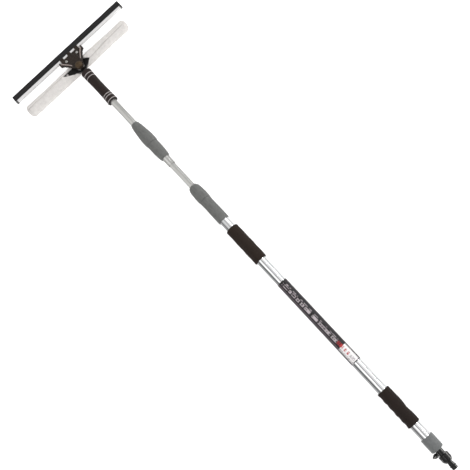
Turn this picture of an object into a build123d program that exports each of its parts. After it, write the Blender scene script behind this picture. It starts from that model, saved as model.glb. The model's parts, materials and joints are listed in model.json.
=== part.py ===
from build123d import *
import math
import os

# Telescopic water-fed window squeegee. Millimetres.
# X runs along the pole from the hose spigot's end face to the blade, Z is up when the tool lies
# on a table with the pivot knob on top, and Y runs along the blade.

# ---- driving dimensions -------------------------------------------------------------------

FIT = 0.05  # radial clearance of a running fit
GAP = 0.3  # clearance between pieces that turn or slide past each other

# blade and channel
BLADE_LENGTH = 360.0
BLADE_REACH = 17.1  # rubber standing out of the channel
BLADE_THICK = 2.6
BEAD_RADIUS = 2.0
CHANNEL_LENGTH = 352.0
CHANNEL_DEPTH = 6.4
CHANNEL_HEIGHT = 6.4
CAP_WALL = 0.9
CAP_GRIP = 1.5  # how far an end cap reaches over the channel
CAP_DEPTH = 3.4  # length of an end cap past the channel

# claw bracket, counted from the pivot
BRACKET_REACH = 40.0  # pivot to the front edge of the fan
BRACKET_HUB_RADIUS = 12.0
BRACKET_THICK = 5.5
JAW_WIDTH = 10.5
JAW_SPACING = 23.6
JAW_OVERHANG = 4.4  # how far a jaw reaches over the channel
HOOK_REACH = 37.5  # half width over the two hooks
RIDGE_HEIGHT = 2.4
REAR_JAW_THICK = 5.0
REAR_JAW_DEPTH = 20.0
JAW_SCREW_RADIUS = 1.6
JAW_SCREW_HEAD_RADIUS = 3.3
JAW_SCREW_HEAD_THICK = 2.2
JAW_SCREW_OFFSET = 17.6  # from the pole axis

# pivot
PIVOT_BOLT_RADIUS = 3.0
BOLT_HEAD_RADIUS = 5.4
BOLT_HEAD_THICK = 4.0
EYE_RADIUS = 11.0
EYE_THICK = 6.4
KNOB_RADIUS = 9.8
KNOB_HEIGHT = 8.0
PIVOT_WASHER_RADIUS = 9.0
PIVOT_WASHER_THICK = 1.0

# washer bar and sleeve
BAR_RADIUS = 9.4
BAR_WALL = 1.4
BAR_LENGTH = 300.0
BAR_FORWARD = 9.0  # bar axis ahead of the pivot
HUB_RADIUS = 8.5
HUB_DROP = 3.0  # hub below the bar axis
GUSSET_SPAN = 52.0  # half length of the diamond gusset along the bar
GUSSET_THICK = 4.4
SLEEVE_RADIUS = 16.5
SLEEVE_LENGTH = 334.0
SLEEVE_SHIFT = 8.0  # the sleeve is pulled along the bar to the key side
END_PLUG_THICK = 5.0
SNAP_RADIUS = 2.8
SNAP_THICK = 1.5

# tubes
TOP_TUBE_RADIUS = 8.5
TOP_TUBE_SHOWN = 85.0  # bare length between grip and upper lock
TOP_TUBE_IN_LOCK = 62.0
TOP_TUBE_IN_GRIP = 78.0
INNER_TUBE_RADIUS = 8.0
INNER_TUBE_SHOWN = 75.0
PARK_GAP = 76.4  # from the plug in the outer tube to the end of the inner tube
OUTER_TUBE_RADIUS = 12.25
OUTER_TUBE_LENGTH = 704.0
TUBE_WALL = 1.0
OUTER_TUBE_WALL = 1.2
FERRULE_WALL = 1.1
FERRULE_RADIUS = max(INNER_TUBE_RADIUS, TOP_TUBE_RADIUS) + FERRULE_WALL
FERRULE_SHOWN = 23.5
FERRULE_IN_LOCK = 45.0

# handle
NECK_RADIUS = 7.2
NECK_LENGTH = 8.0
NECK_TO_PIVOT = 16.0
GRIP_LENGTH = 110.0
GRIP_CORE_WALL = 1.7
GRIP_WALL = 2.2
GRIP_CORE_RADIUS = TOP_TUBE_RADIUS + GRIP_CORE_WALL
GRIP_WAIST_RADIUS = GRIP_CORE_RADIUS + GRIP_WALL
GRIP_SWELL = 1.4  # extra radius at the ends of the grip
RIB_PITCH = 4.2
RIB_GROOVE = 1.3
RIB_DEPTH = 0.7
RING_WIDTH = 1.8
RING_DEPTH = 1.2
RINGS_FROM_START = [2.0, 13.6, 20.6]
RINGS_FROM_END = [12.5, 22.7]
JET_RADIUS = 3.2

# twist locks
COLLET_WALL = 1.85
COLLET_LENGTH = 38.0
COLLET_SLOT = 1.2
LOCK_THREAD_LENGTH = 24.0
UPPER_THREAD_RADIUS = TOP_TUBE_RADIUS + COLLET_WALL + 2.25
LOWER_THREAD_RADIUS = INNER_TUBE_RADIUS + COLLET_WALL + 2.75
UPPER_NUT_LENGTH = 69.7
UPPER_NUT_RADIUS = UPPER_THREAD_RADIUS + 3.65
UPPER_BODY_LENGTH = 50.0
UPPER_BODY_RADIUS = FERRULE_RADIUS + 4.7
LOWER_NUT_LENGTH = 45.1
LOWER_NUT_RADIUS = LOWER_THREAD_RADIUS + 3.0
LOWER_BODY_LENGTH = 67.4
LOWER_BODY_RADIUS = OUTER_TUBE_RADIUS + 1.85
SEAL_SECTION = 0.8  # radius of an O-ring's section in the locks

# foam grips on the outer tube, and the label halfway between them
LOWER_FOAM_START = 57.0  # from the tube's lower end
LOWER_FOAM_LENGTH = 90.0
LOWER_FOAM_WALL = 2.75
UPPER_FOAM_GAP = 25.6  # bare tube between the grip and the lower lock
UPPER_FOAM_LENGTH = 100.0
UPPER_FOAM_WALL = 3.5
LABEL_SHIFT = 5.0  # off the middle, towards the upper grip
LABEL_LENGTH = 231.0
LABEL_THICK = 0.15
LABEL_WRAP = 320.0  # degrees

# base
SPIGOT_RADIUS = 6.6
SPIGOT_TIP = 6.0
SPIGOT_LENGTH = 23.5
SPIGOT_BORE = 4.0
SPIGOT_FLANGE_RADIUS = 9.0
SPIGOT_FLANGE_THICK = 2.0
O_RING_SECTION = 1.0
NUT_RADIUS = 11.4
NUT_LENGTH = 17.6
VALVE_THREAD_RADIUS = 9.3
VALVE_NECK_RADIUS = 7.7
VALVE_BORE = 3.2
BALL_RADIUS = 6.0
STEM_RADIUS = 2.2
KEY_REACH = 20.5  # pole axis to the tip of the key
KEY_WIDTH = 9.4
KEY_THICK = 3.4
COLLAR_RADIUS = OUTER_TUBE_RADIUS + 2.45
COLLAR_LENGTH = 32.4
COLLAR_WALL = 4.0
PLUG_LENGTH = 28.0

# ---- stations along the pole, each from the one before ----------------------------------

NUT_START = SPIGOT_LENGTH - 6.0
GASKET_START = SPIGOT_LENGTH + SPIGOT_FLANGE_THICK
VALVE_START = GASKET_START + 1.6
NUT_END = NUT_START + NUT_LENGTH
VALVE_CENTRE = NUT_END + 6.0
COLLAR_START = VALVE_CENTRE + 6.9
OUTER_TUBE_START = COLLAR_START + 2 * COLLAR_WALL
OUTER_TUBE_END = OUTER_TUBE_START + OUTER_TUBE_LENGTH
LOWER_BODY_END = OUTER_TUBE_END + 13.0
LOWER_BODY_START = LOWER_BODY_END - LOWER_BODY_LENGTH
LOWER_FOAM_END = OUTER_TUBE_START + LOWER_FOAM_START + LOWER_FOAM_LENGTH
UPPER_FOAM_START = LOWER_BODY_START - UPPER_FOAM_GAP - UPPER_FOAM_LENGTH
LABEL_START = (LOWER_FOAM_END + UPPER_FOAM_START - LABEL_LENGTH) / 2 + LABEL_SHIFT
LOWER_NUT_START = LOWER_BODY_END + GAP
LOWER_NUT_END = LOWER_NUT_START + LOWER_NUT_LENGTH
FERRULE_START = LOWER_NUT_END + INNER_TUBE_SHOWN
UPPER_BODY_START = FERRULE_START + FERRULE_SHOWN
UPPER_BODY_END = UPPER_BODY_START + UPPER_BODY_LENGTH
FERRULE_END = UPPER_BODY_START + FERRULE_IN_LOCK
INNER_TUBE_END = FERRULE_START + 12.0
INNER_TUBE_START = OUTER_TUBE_START + PLUG_LENGTH + PARK_GAP
UPPER_NUT_START = UPPER_BODY_END + GAP
UPPER_NUT_END = UPPER_NUT_START + UPPER_NUT_LENGTH
GRIP_START = UPPER_NUT_END + TOP_TUBE_SHOWN
GRIP_END = GRIP_START + GRIP_LENGTH
NECK_END = GRIP_END + NECK_LENGTH
PIVOT = NECK_END + NECK_TO_PIVOT
FAN_FRONT = PIVOT + BRACKET_REACH
CHANNEL_REAR = FAN_FRONT + 4.0
CHANNEL_FRONT = CHANNEL_REAR + CHANNEL_DEPTH
BLADE_EDGE = CHANNEL_FRONT + BLADE_REACH
BAR_X = PIVOT + BAR_FORWARD

# levels at the pivot, from the eye on the pole axis outwards
EYE_BOTTOM = -EYE_THICK / 2 - 1.0
EYE_TOP = EYE_BOTTOM + EYE_THICK
BAR_TOP = EYE_BOTTOM - GAP
BAR_AXIS = BAR_TOP - BAR_RADIUS
HUB_BOTTOM = BAR_AXIS - HUB_DROP
BRACKET_BOTTOM = EYE_TOP + GAP
BRACKET_TOP = BRACKET_BOTTOM + BRACKET_THICK
KNOB_BOTTOM = BRACKET_TOP + PIVOT_WASHER_THICK + FIT

OUTER_TUBE_BORE = OUTER_TUBE_RADIUS - OUTER_TUBE_WALL
INNER_TUBE_BORE = INNER_TUBE_RADIUS - TUBE_WALL
TOP_TUBE_BORE = TOP_TUBE_RADIUS - TUBE_WALL


# ---- shapes used by many pieces ---------------------------------------------------------


def rod(start, end, radius):
    """Round bar on the pole axis."""
    return Pos(start, 0, 0) * Rot(0, 90, 0) * Cylinder(
        radius, end - start, align=(Align.CENTER, Align.CENTER, Align.MIN)
    )


def ring(start, end, outer, inner):
    """Plain tube on the pole axis."""
    return rod(start, end, outer) - rod(start - 1, end + 1, inner)


def turned(*corners):
    """Solid of revolution about the pole axis from (x, radius) corners."""
    outline = Polyline(*[(x, 0, radius) for x, radius in corners], close=True)
    return revolve(make_face(outline), Axis.X)


def crowned(*stations):
    """Solid bar on the pole axis whose radius follows a smooth curve through (x, radius)."""
    first, last = stations[0][0], stations[-1][0]
    curve = Spline(*[(x, 0, radius) for x, radius in stations])
    ends = Polyline(
        (last, 0, stations[-1][1]), (last, 0, 0), (first, 0, 0), (first, 0, stations[0][1])
    )
    return revolve(make_face(curve + ends), Axis.X)


def seal(x, middle, section):
    """O-ring around the pole axis."""
    return Pos(x, 0, 0) * Rot(0, 90, 0) * Torus(middle, section)


def post(x, y, bottom, top, radius):
    """Upright round bar."""
    return Pos(x, y, bottom) * Cylinder(
        radius, top - bottom, align=(Align.CENTER, Align.CENTER, Align.MIN)
    )


def block(low, high):
    """Box from its lowest to its highest corner."""
    size = [high[i] - low[i] for i in range(3)]
    return Pos(*low) * Box(*size, align=(Align.MIN, Align.MIN, Align.MIN))


def slab(outline, bottom, top):
    """Plate cut to a closed plan outline of (x, y) corners."""
    face = make_face(Polyline(*outline, close=True))
    return Pos(0, 0, bottom) * extrude(face, top - bottom)


def both_sides(half):
    """Closed plan outline from its half on the +Y side, in order along X."""
    return list(half) + [(x, -y) for x, y in reversed(half)]


def group(*solids):
    """Several separate solids that share a node."""
    return Compound(children=[s for solid in solids for s in solid.solids()])


# ---- base: hose spigot, nut, valve and collar -------------------------------------------


def hose_spigot():
    groove = O_RING_SECTION * 1.2
    waist = SPIGOT_RADIUS - 0.8
    tail = SPIGOT_RADIUS - 0.1
    body = turned(
        (0, SPIGOT_BORE),
        (0, SPIGOT_RADIUS),
        (SPIGOT_TIP, SPIGOT_RADIUS),
        (SPIGOT_TIP, SPIGOT_RADIUS - groove),
        (SPIGOT_TIP + 2 * groove, SPIGOT_RADIUS - groove),
        (SPIGOT_TIP + 2 * groove, tail),
        (SPIGOT_TIP + 6.0, tail),
        (SPIGOT_TIP + 7.5, waist),
        (NUT_START - 1.0, waist),
        (NUT_START, tail),
        (SPIGOT_LENGTH, tail),
        (SPIGOT_LENGTH, SPIGOT_FLANGE_RADIUS),
        (GASKET_START, SPIGOT_FLANGE_RADIUS),
        (GASKET_START, SPIGOT_BORE),
    )
    return body


def spigot_oring():
    groove = O_RING_SECTION * 1.2
    return seal(SPIGOT_TIP + groove, SPIGOT_RADIUS - groove + O_RING_SECTION + 0.02, O_RING_SECTION)


def hose_gasket():
    return ring(GASKET_START, VALVE_START, SPIGOT_FLANGE_RADIUS, SPIGOT_BORE)


def coupling_nut():
    tip = SPIGOT_RADIUS + 1.6
    body = turned(
        (NUT_START, 0),
        (NUT_START, tip),
        (NUT_START + 4.5, NUT_RADIUS - 0.4),
        (NUT_START + 5.5, NUT_RADIUS),
        (NUT_END - 1.0, NUT_RADIUS),
        (NUT_END, NUT_RADIUS - 0.8),
        (NUT_END, 0),
    )
    body -= rod(NUT_START - 1, NUT_END, SPIGOT_RADIUS + GAP)
    body -= rod(SPIGOT_LENGTH - GAP, NUT_END + 1, VALVE_THREAD_RADIUS + GAP)
    flute = Pos(NUT_START + 5.5, NUT_RADIUS + 0.55, 0) * Rot(0, 90, 0) * Cylinder(
        1.1, NUT_LENGTH, align=(Align.CENTER, Align.CENTER, Align.MIN)
    )
    for turn in range(16):
        body -= Rot(turn * 360 / 16, 0, 0) * flute
    return body


def valve_body():
    tail = COLLAR_START + COLLAR_WALL + 12.0
    boss_top = VALVE_NECK_RADIUS + 1.6
    body = rod(VALVE_START, NUT_END, VALVE_THREAD_RADIUS) + rod(NUT_END, tail, VALVE_NECK_RADIUS)
    boss = Pos(VALVE_CENTRE, 0, 0) * Rot(-90, 0, 0) * Cylinder(
        STEM_RADIUS + 2.0, boss_top, align=(Align.CENTER, Align.CENTER, Align.MIN)
    )
    body += boss
    body -= rod(VALVE_START - 1, VALVE_CENTRE + BALL_RADIUS + 1.0, BALL_RADIUS + FIT)
    body -= rod(VALVE_START, tail + 1, VALVE_BORE)
    body -= Pos(VALVE_CENTRE, 0, 0) * Rot(-90, 0, 0) * Cylinder(
        STEM_RADIUS + FIT, boss_top + 1, align=(Align.CENTER, Align.CENTER, Align.MIN)
    )
    return body


def valve_seats():
    """A long seat from the nut's side and a short one behind, with 45 degree faces on the ball."""
    outer = BALL_RADIUS + FIT
    cone = math.sqrt(2) * outer  # distance along X plus radius, all over a seat's face
    lip = 0.85 * outer
    seats = []
    for side, far in ((-1, VALVE_CENTRE - VALVE_START), (1, BALL_RADIUS + 1.0)):
        seats.append(
            turned(
                (VALVE_CENTRE + side * (cone - lip), outer),
                (VALVE_CENTRE + side * (cone - lip), lip),
                (VALVE_CENTRE + side * (cone - VALVE_BORE), VALVE_BORE),
                (VALVE_CENTRE + side * far, VALVE_BORE),
                (VALVE_CENTRE + side * far, outer),
            )
        )
    return group(*seats)


def valve_ball():
    stem_end = VALVE_NECK_RADIUS + 5.0
    ball = Pos(VALVE_CENTRE, 0, 0) * Sphere(BALL_RADIUS)
    ball -= rod(VALVE_CENTRE - 2 * BALL_RADIUS, VALVE_CENTRE + 2 * BALL_RADIUS, VALVE_BORE)
    stem = Pos(VALVE_CENTRE, BALL_RADIUS - 1.5, 0) * Rot(-90, 0, 0) * Cylinder(
        STEM_RADIUS, stem_end - BALL_RADIUS + 1.5, align=(Align.CENTER, Align.CENTER, Align.MIN)
    )
    return ball + stem


def valve_key():
    root = VALVE_NECK_RADIUS + 1.6 + GAP
    half = KEY_WIDTH / 2
    shoulder = KEY_REACH - 5.5
    outline = Polyline(
        (VALVE_CENTRE - half, root),
        (VALVE_CENTRE - half + 0.4, shoulder),
        (VALVE_CENTRE - 0.9, KEY_REACH),
        (VALVE_CENTRE + 0.9, KEY_REACH),
        (VALVE_CENTRE + half - 0.4, shoulder),
        (VALVE_CENTRE + half, root),
        close=True,
    )
    paddle = Pos(0, 0, -KEY_THICK / 2) * extrude(make_face(outline), KEY_THICK)
    hub = Pos(VALVE_CENTRE, root, 0) * Rot(-90, 0, 0) * Cylinder(
        STEM_RADIUS + 1.8, 4.2, align=(Align.CENTER, Align.CENTER, Align.MIN)
    )
    key = paddle + hub
    stem_end = VALVE_NECK_RADIUS + 5.0
    key -= Pos(VALVE_CENTRE, root - 1, 0) * Rot(-90, 0, 0) * Cylinder(
        STEM_RADIUS, stem_end - root + 1, align=(Align.CENTER, Align.CENTER, Align.MIN)
    )
    recess_low = (VALVE_CENTRE - 0.9, stem_end + 0.6, KEY_THICK / 2 - 0.8)
    recess_high = (VALVE_CENTRE + 0.9, KEY_REACH - 3.0, KEY_THICK)
    return key - block(recess_low, recess_high)


def end_collar():
    end = COLLAR_START + COLLAR_LENGTH
    body = turned(
        (COLLAR_START, 0),
        (COLLAR_START, COLLAR_RADIUS - 1.6),
        (COLLAR_START + 1.0, COLLAR_RADIUS - 0.4),
        (COLLAR_START + 2.4, COLLAR_RADIUS),
        (end - 1.6, COLLAR_RADIUS),
        (end - 0.4, COLLAR_RADIUS - 0.5),
        (end, COLLAR_RADIUS - 1.3),
        (end, 0),
    )
    body -= rod(COLLAR_START - 1, end, VALVE_NECK_RADIUS)
    return body - rod(COLLAR_START + COLLAR_WALL, end + 1, OUTER_TUBE_RADIUS)


def collar_plug():
    flange = COLLAR_START + COLLAR_WALL
    end = OUTER_TUBE_START + PLUG_LENGTH
    socket_end = flange + 12.0
    body = rod(flange, OUTER_TUBE_START, OUTER_TUBE_RADIUS) + rod(OUTER_TUBE_START, end, OUTER_TUBE_BORE)
    body -= rod(flange - 1, socket_end, VALVE_NECK_RADIUS)
    body -= rod(socket_end - 1, end + 1, VALVE_BORE)
    for x in plug_groove_places():
        body -= ring(x - 1.0, x + 1.0, OUTER_TUBE_BORE + 1, OUTER_TUBE_BORE - 1.5)
    return body


def plug_groove_places():
    return [OUTER_TUBE_START + PLUG_LENGTH - 6.0, OUTER_TUBE_START + PLUG_LENGTH - 13.0]


def plug_seals():
    section = 0.73
    return group(*[seal(x, OUTER_TUBE_BORE - 0.02 - section, section) for x in plug_groove_places()])


# ---- outer tube -------------------------------------------------------------------------


def outer_tube():
    return ring(OUTER_TUBE_START, OUTER_TUBE_END, OUTER_TUBE_RADIUS, OUTER_TUBE_BORE)


def foam_grip(start, length, wall, ends):
    """Foam sleeve pushed on the outer tube, with rounded ends."""
    end = start + length
    radius = OUTER_TUBE_RADIUS + wall
    body = turned(
        (start, OUTER_TUBE_RADIUS),
        (start, radius - ends),
        (start + ends, radius),
        (end - ends, radius),
        (end, radius - ends),
        (end, OUTER_TUBE_RADIUS),
    )
    return body


def lower_foam_grip():
    return foam_grip(OUTER_TUBE_START + LOWER_FOAM_START, LOWER_FOAM_LENGTH, LOWER_FOAM_WALL, 1.5)


def upper_foam_grip():
    return foam_grip(UPPER_FOAM_START, UPPER_FOAM_LENGTH, UPPER_FOAM_WALL, 1.8)


def pole_label():
    end = LABEL_START + LABEL_LENGTH
    inner, outer = OUTER_TUBE_RADIUS, OUTER_TUBE_RADIUS + LABEL_THICK
    section = make_face(
        Polyline(
            (LABEL_START, 0, inner),
            (LABEL_START, 0, outer),
            (end, 0, outer),
            (end, 0, inner),
            close=True,
        )
    )
    return Rot(-LABEL_WRAP / 2, 0, 0) * revolve(section, Axis.X, LABEL_WRAP)


# ---- twist locks ------------------------------------------------------------------------


def lock_body(start, end, skin, bore, bore_end, shaft, thread):
    """Fixed half of a twist lock: a skin over the tube below, and a thread that holds the collet.

    skin is the solid outer shape, bore and bore_end are the tube's seat, shaft is the radius of
    the tube that slides through, and thread is the thread's radius.
    """
    body = skin + rod(end - 1, end + LOCK_THREAD_LENGTH, thread)
    body -= rod(start - 1, bore_end, bore)
    body -= rod(bore_end - 1, end + LOCK_THREAD_LENGTH + 1, shaft + GAP)
    body -= rod(bore_end, bore_end + 2.4 * SEAL_SECTION, shaft + FIT + 2 * SEAL_SECTION)
    return body - rod(end, end + LOCK_THREAD_LENGTH + 1, shaft + COLLET_WALL + FIT)


def lock_seal(bore_end, shaft):
    return seal(bore_end + 1.2 * SEAL_SECTION, shaft + FIT / 2 + SEAL_SECTION, SEAL_SECTION)


def collet(end, shaft):
    """Split sleeve that the nut squeezes on the sliding tube."""
    outer = shaft + COLLET_WALL
    far = end + COLLET_LENGTH
    body = turned(
        (end, shaft + FIT),
        (end, outer),
        (far - 12.0, outer),
        (far, outer - 1.1),
        (far, shaft + FIT),
    )
    slot = block((end + 8.0, -COLLET_SLOT / 2, 0), (far + 1, COLLET_SLOT / 2, outer + 1))
    for turn in range(4):
        body -= Rot(45 + turn * 90, 0, 0) * slot
    return body


def lock_nut(start, end, skin, shaft, thread):
    """Turning half of a twist lock, hollow for the thread and the collet."""
    thread_end = start + LOCK_THREAD_LENGTH + 2.0
    cone_end = start + COLLET_LENGTH + 2.0
    hollow = turned(
        (start - 1, 0),
        (start - 1, thread + GAP),
        (thread_end, thread + GAP),
        (thread_end + 1.0, shaft + COLLET_WALL + 1.0),
        (cone_end, shaft + COLLET_WALL),
        (cone_end, shaft + GAP),
        (end + 1, shaft + GAP),
        (end + 1, 0),
    )
    return skin - hollow


def lower_lock_body():
    start, end, radius = LOWER_BODY_START, LOWER_BODY_END, LOWER_BODY_RADIUS
    skin = crowned(
        (start, radius - 0.1),
        (start + 0.25 * LOWER_BODY_LENGTH, radius),
        (start + 0.5 * LOWER_BODY_LENGTH, radius),
        (start + 0.8 * LOWER_BODY_LENGTH, radius - 0.3),
        (end, radius + 0.3),
    )
    return lock_body(
        start, end, skin, OUTER_TUBE_RADIUS, OUTER_TUBE_END, INNER_TUBE_RADIUS, LOWER_THREAD_RADIUS
    )


def lower_lock_nut():
    start, end, radius = LOWER_NUT_START, LOWER_NUT_END, LOWER_NUT_RADIUS
    skin = crowned(
        (start, radius - 0.9),
        (start + 0.18 * LOWER_NUT_LENGTH, radius - 0.15),
        (start + 0.36 * LOWER_NUT_LENGTH, radius),
        (start + 0.67 * LOWER_NUT_LENGTH, radius - 0.8),
        (start + 0.85 * LOWER_NUT_LENGTH, radius - 1.9),
        (end, radius - 4.7),
    )
    return lock_nut(start, end, skin, INNER_TUBE_RADIUS, LOWER_THREAD_RADIUS)


def upper_lock_body():
    start, end, radius = UPPER_BODY_START, UPPER_BODY_END, UPPER_BODY_RADIUS
    skin = crowned(
        (start, radius - 3.2),
        (start + 0.12 * UPPER_BODY_LENGTH, radius - 1.8),
        (start + 0.28 * UPPER_BODY_LENGTH, radius - 0.8),
        (start + 0.55 * UPPER_BODY_LENGTH, radius),
        (end, radius),
    )
    return lock_body(start, end, skin, FERRULE_RADIUS, FERRULE_END, TOP_TUBE_RADIUS, UPPER_THREAD_RADIUS)


def upper_lock_nut():
    start, end, radius = UPPER_NUT_START, UPPER_NUT_END, UPPER_NUT_RADIUS
    skin = crowned(
        (start, radius - 1.4),
        (start + 0.12 * UPPER_NUT_LENGTH, radius),
        (start + 0.35 * UPPER_NUT_LENGTH, radius - 0.3),
        (start + 0.58 * UPPER_NUT_LENGTH, radius - 1.8),
        (start + 0.81 * UPPER_NUT_LENGTH, radius - 3.5),
        (start + 0.94 * UPPER_NUT_LENGTH, radius - 4.8),
        (end, radius - 6.2),
    )
    return lock_nut(start, end, skin, TOP_TUBE_RADIUS, UPPER_THREAD_RADIUS)


# ---- inner tube and ferrule -------------------------------------------------------------


def inner_tube():
    return ring(INNER_TUBE_START, INNER_TUBE_END, INNER_TUBE_RADIUS, INNER_TUBE_BORE)


def piston_grooves():
    return [INNER_TUBE_START + 7.0, INNER_TUBE_START + 17.0]


def piston_bush():
    """Guide ring on the lower end of the inner tube, which runs inside the outer tube."""
    outer = OUTER_TUBE_BORE - FIT
    body = ring(INNER_TUBE_START, INNER_TUBE_START + 24.0, outer, INNER_TUBE_RADIUS)
    for x in piston_grooves():
        body -= ring(x - 1.0, x + 1.0, outer + 1, outer - 1.5)
    return body


def piston_seals():
    section = 0.72
    middle = OUTER_TUBE_BORE - FIT - section
    return group(*[seal(x, middle, section) for x in piston_grooves()])


def ferrule():
    """Stepped sleeve: the inner tube seats in its lower end, the top tube slides in the upper."""
    body = rod(FERRULE_START, FERRULE_END, FERRULE_RADIUS)
    body -= rod(FERRULE_START - 1, INNER_TUBE_END, INNER_TUBE_RADIUS)
    return body - rod(INNER_TUBE_END, FERRULE_END + 1, TOP_TUBE_RADIUS + FIT)


# ---- handle -----------------------------------------------------------------------------


def top_tube():
    return ring(
        UPPER_NUT_END - TOP_TUBE_IN_LOCK, GRIP_START + TOP_TUBE_IN_GRIP, TOP_TUBE_RADIUS, TOP_TUBE_BORE
    )


def grip_radius(x):
    middle = (GRIP_START + GRIP_END) / 2
    share = (x - middle) / (GRIP_LENGTH / 2)
    return GRIP_WAIST_RADIUS + GRIP_SWELL * share * share


def ring_places():
    """Middles of the light rings: three near the lower end and two near the neck."""
    low = [GRIP_START + distance for distance in RINGS_FROM_START]
    return low + [GRIP_END - distance for distance in RINGS_FROM_END]


def groove(x, width, depth):
    return ring(x - width / 2, x + width / 2, grip_radius(x) + 2, grip_radius(x) - depth)


def handle_grip():
    stations = [GRIP_START + GRIP_LENGTH * i / 6 for i in range(7)]
    body = crowned(*[(x, grip_radius(x)) for x in stations])
    body -= rod(GRIP_START - 1, GRIP_END + 1, GRIP_CORE_RADIUS)
    for x in ring_places():
        body -= groove(x, RING_WIDTH, RING_DEPTH)
    ribbed_from = GRIP_START + RINGS_FROM_START[-1] + RIB_PITCH
    ribbed_to = GRIP_END - RINGS_FROM_END[-1] - RIB_PITCH
    count = int((ribbed_to - ribbed_from) // RIB_PITCH)
    for i in range(count + 1):
        body -= groove(ribbed_from + i * RIB_PITCH, RIB_GROOVE, RIB_DEPTH)
    return body


def grip_rings():
    rings = []
    for x in ring_places():
        radius = grip_radius(x)
        rings.append(ring(x - RING_WIDTH / 2, x + RING_WIDTH / 2, radius + 0.25, radius - RING_DEPTH))
    return group(*rings)


def swivel_neck():
    """Core inside the grip, neck, and the flat eye that the head turns on."""
    tube_end = GRIP_START + TOP_TUBE_IN_GRIP
    shoulder = GRIP_CORE_RADIUS + 1.6
    body = rod(GRIP_START, GRIP_END, GRIP_CORE_RADIUS)
    body += turned(
        (GRIP_END, 0),
        (GRIP_END, shoulder),
        (GRIP_END + 1.5, shoulder),
        (GRIP_END + 0.45 * NECK_LENGTH, NECK_RADIUS + 1.6),
        (NECK_END - 2.0, NECK_RADIUS),
        (NECK_END, NECK_RADIUS - 1.2),
        (NECK_END, 0),
    )
    tongue = block((NECK_END - 3.0, -NECK_RADIUS + 0.6, EYE_BOTTOM), (PIVOT, NECK_RADIUS - 0.6, EYE_TOP))
    body += tongue + post(PIVOT, 0, EYE_BOTTOM, EYE_TOP, EYE_RADIUS)
    body -= post(PIVOT, 0, EYE_BOTTOM - 1, EYE_TOP + 1, PIVOT_BOLT_RADIUS + FIT)
    body -= rod(GRIP_START - 1, tube_end, TOP_TUBE_RADIUS)
    body -= rod(tube_end - 1, jet_place() + 1.5, 3.5)
    return body - post(jet_place(), 0, -2 * GRIP_CORE_RADIUS, 0, JET_RADIUS)


def jet_place():
    return GRIP_END + 4.2


def water_jet():
    """Small outlet under the neck, which wets the sleeve."""
    bottom = -GRIP_CORE_RADIUS - 3.0
    body = post(jet_place(), 0, bottom, -3.6, JET_RADIUS)
    return body - post(jet_place(), 0, bottom - 1, 0, 1.1)


# ---- head: pivot, claw bracket and blade ------------------------------------------------


def pivot_bolt():
    head_top = HUB_BOTTOM + BOLT_HEAD_THICK
    head = Pos(PIVOT, 0, HUB_BOTTOM) * extrude(RegularPolygon(BOLT_HEAD_RADIUS, 6), BOLT_HEAD_THICK)
    return head + post(PIVOT, 0, head_top, KNOB_BOTTOM + 5.0, PIVOT_BOLT_RADIUS)


def pivot_washer():
    body = post(PIVOT, 0, BRACKET_TOP, BRACKET_TOP + PIVOT_WASHER_THICK, PIVOT_WASHER_RADIUS)
    return body - post(PIVOT, 0, BRACKET_TOP - 1, KNOB_BOTTOM + 1, PIVOT_BOLT_RADIUS + FIT)


def pivot_knob():
    """Low domed clamp knob with six finger scallops."""
    top = KNOB_BOTTOM + KNOB_HEIGHT
    dome_radius = (KNOB_RADIUS**2 + KNOB_HEIGHT**2) / (2 * KNOB_HEIGHT) * 1.1
    body = post(PIVOT, 0, KNOB_BOTTOM, top, KNOB_RADIUS)
    body &= Pos(PIVOT, 0, top - dome_radius) * Sphere(dome_radius)
    scallop, reach = 3.2, KNOB_RADIUS + 2.4
    for turn in range(6):
        angle = math.radians(turn * 60)
        x, y = PIVOT + reach * math.cos(angle), reach * math.sin(angle)
        body -= post(x, y, KNOB_BOTTOM - 1, top + 1, scallop)
    return body - post(PIVOT, 0, KNOB_BOTTOM - 1, KNOB_BOTTOM + 5.0, PIVOT_BOLT_RADIUS + FIT)


def claw_outline():
    """Plan of the fan: hub, two hooked arms and the straight front edge."""
    hook = HOOK_REACH
    return both_sides(
        [
            (PIVOT, BRACKET_HUB_RADIUS - 1.0),
            (PIVOT + 0.24 * BRACKET_REACH, 0.50 * hook),
            (PIVOT + 0.42 * BRACKET_REACH, 0.62 * hook),
            (PIVOT + 0.64 * BRACKET_REACH, 0.80 * hook),
            (PIVOT + 0.74 * BRACKET_REACH, hook - 0.6),
            (PIVOT + 0.82 * BRACKET_REACH, hook),
            (FAN_FRONT + 1.6, hook - 0.8),
            (FAN_FRONT + 2.0, hook - 4.0),
            (PIVOT + 0.87 * BRACKET_REACH, hook - 5.2),
            (PIVOT + 0.85 * BRACKET_REACH, hook - 7.4),
            (FAN_FRONT, hook - 8.2),
        ]
    )


def jaw_places():
    return [-JAW_SPACING, 0, JAW_SPACING]


def jaw_screw_places():
    return [(FAN_FRONT - 8.0, -JAW_SCREW_OFFSET), (FAN_FRONT - 8.0, JAW_SCREW_OFFSET)]


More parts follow.
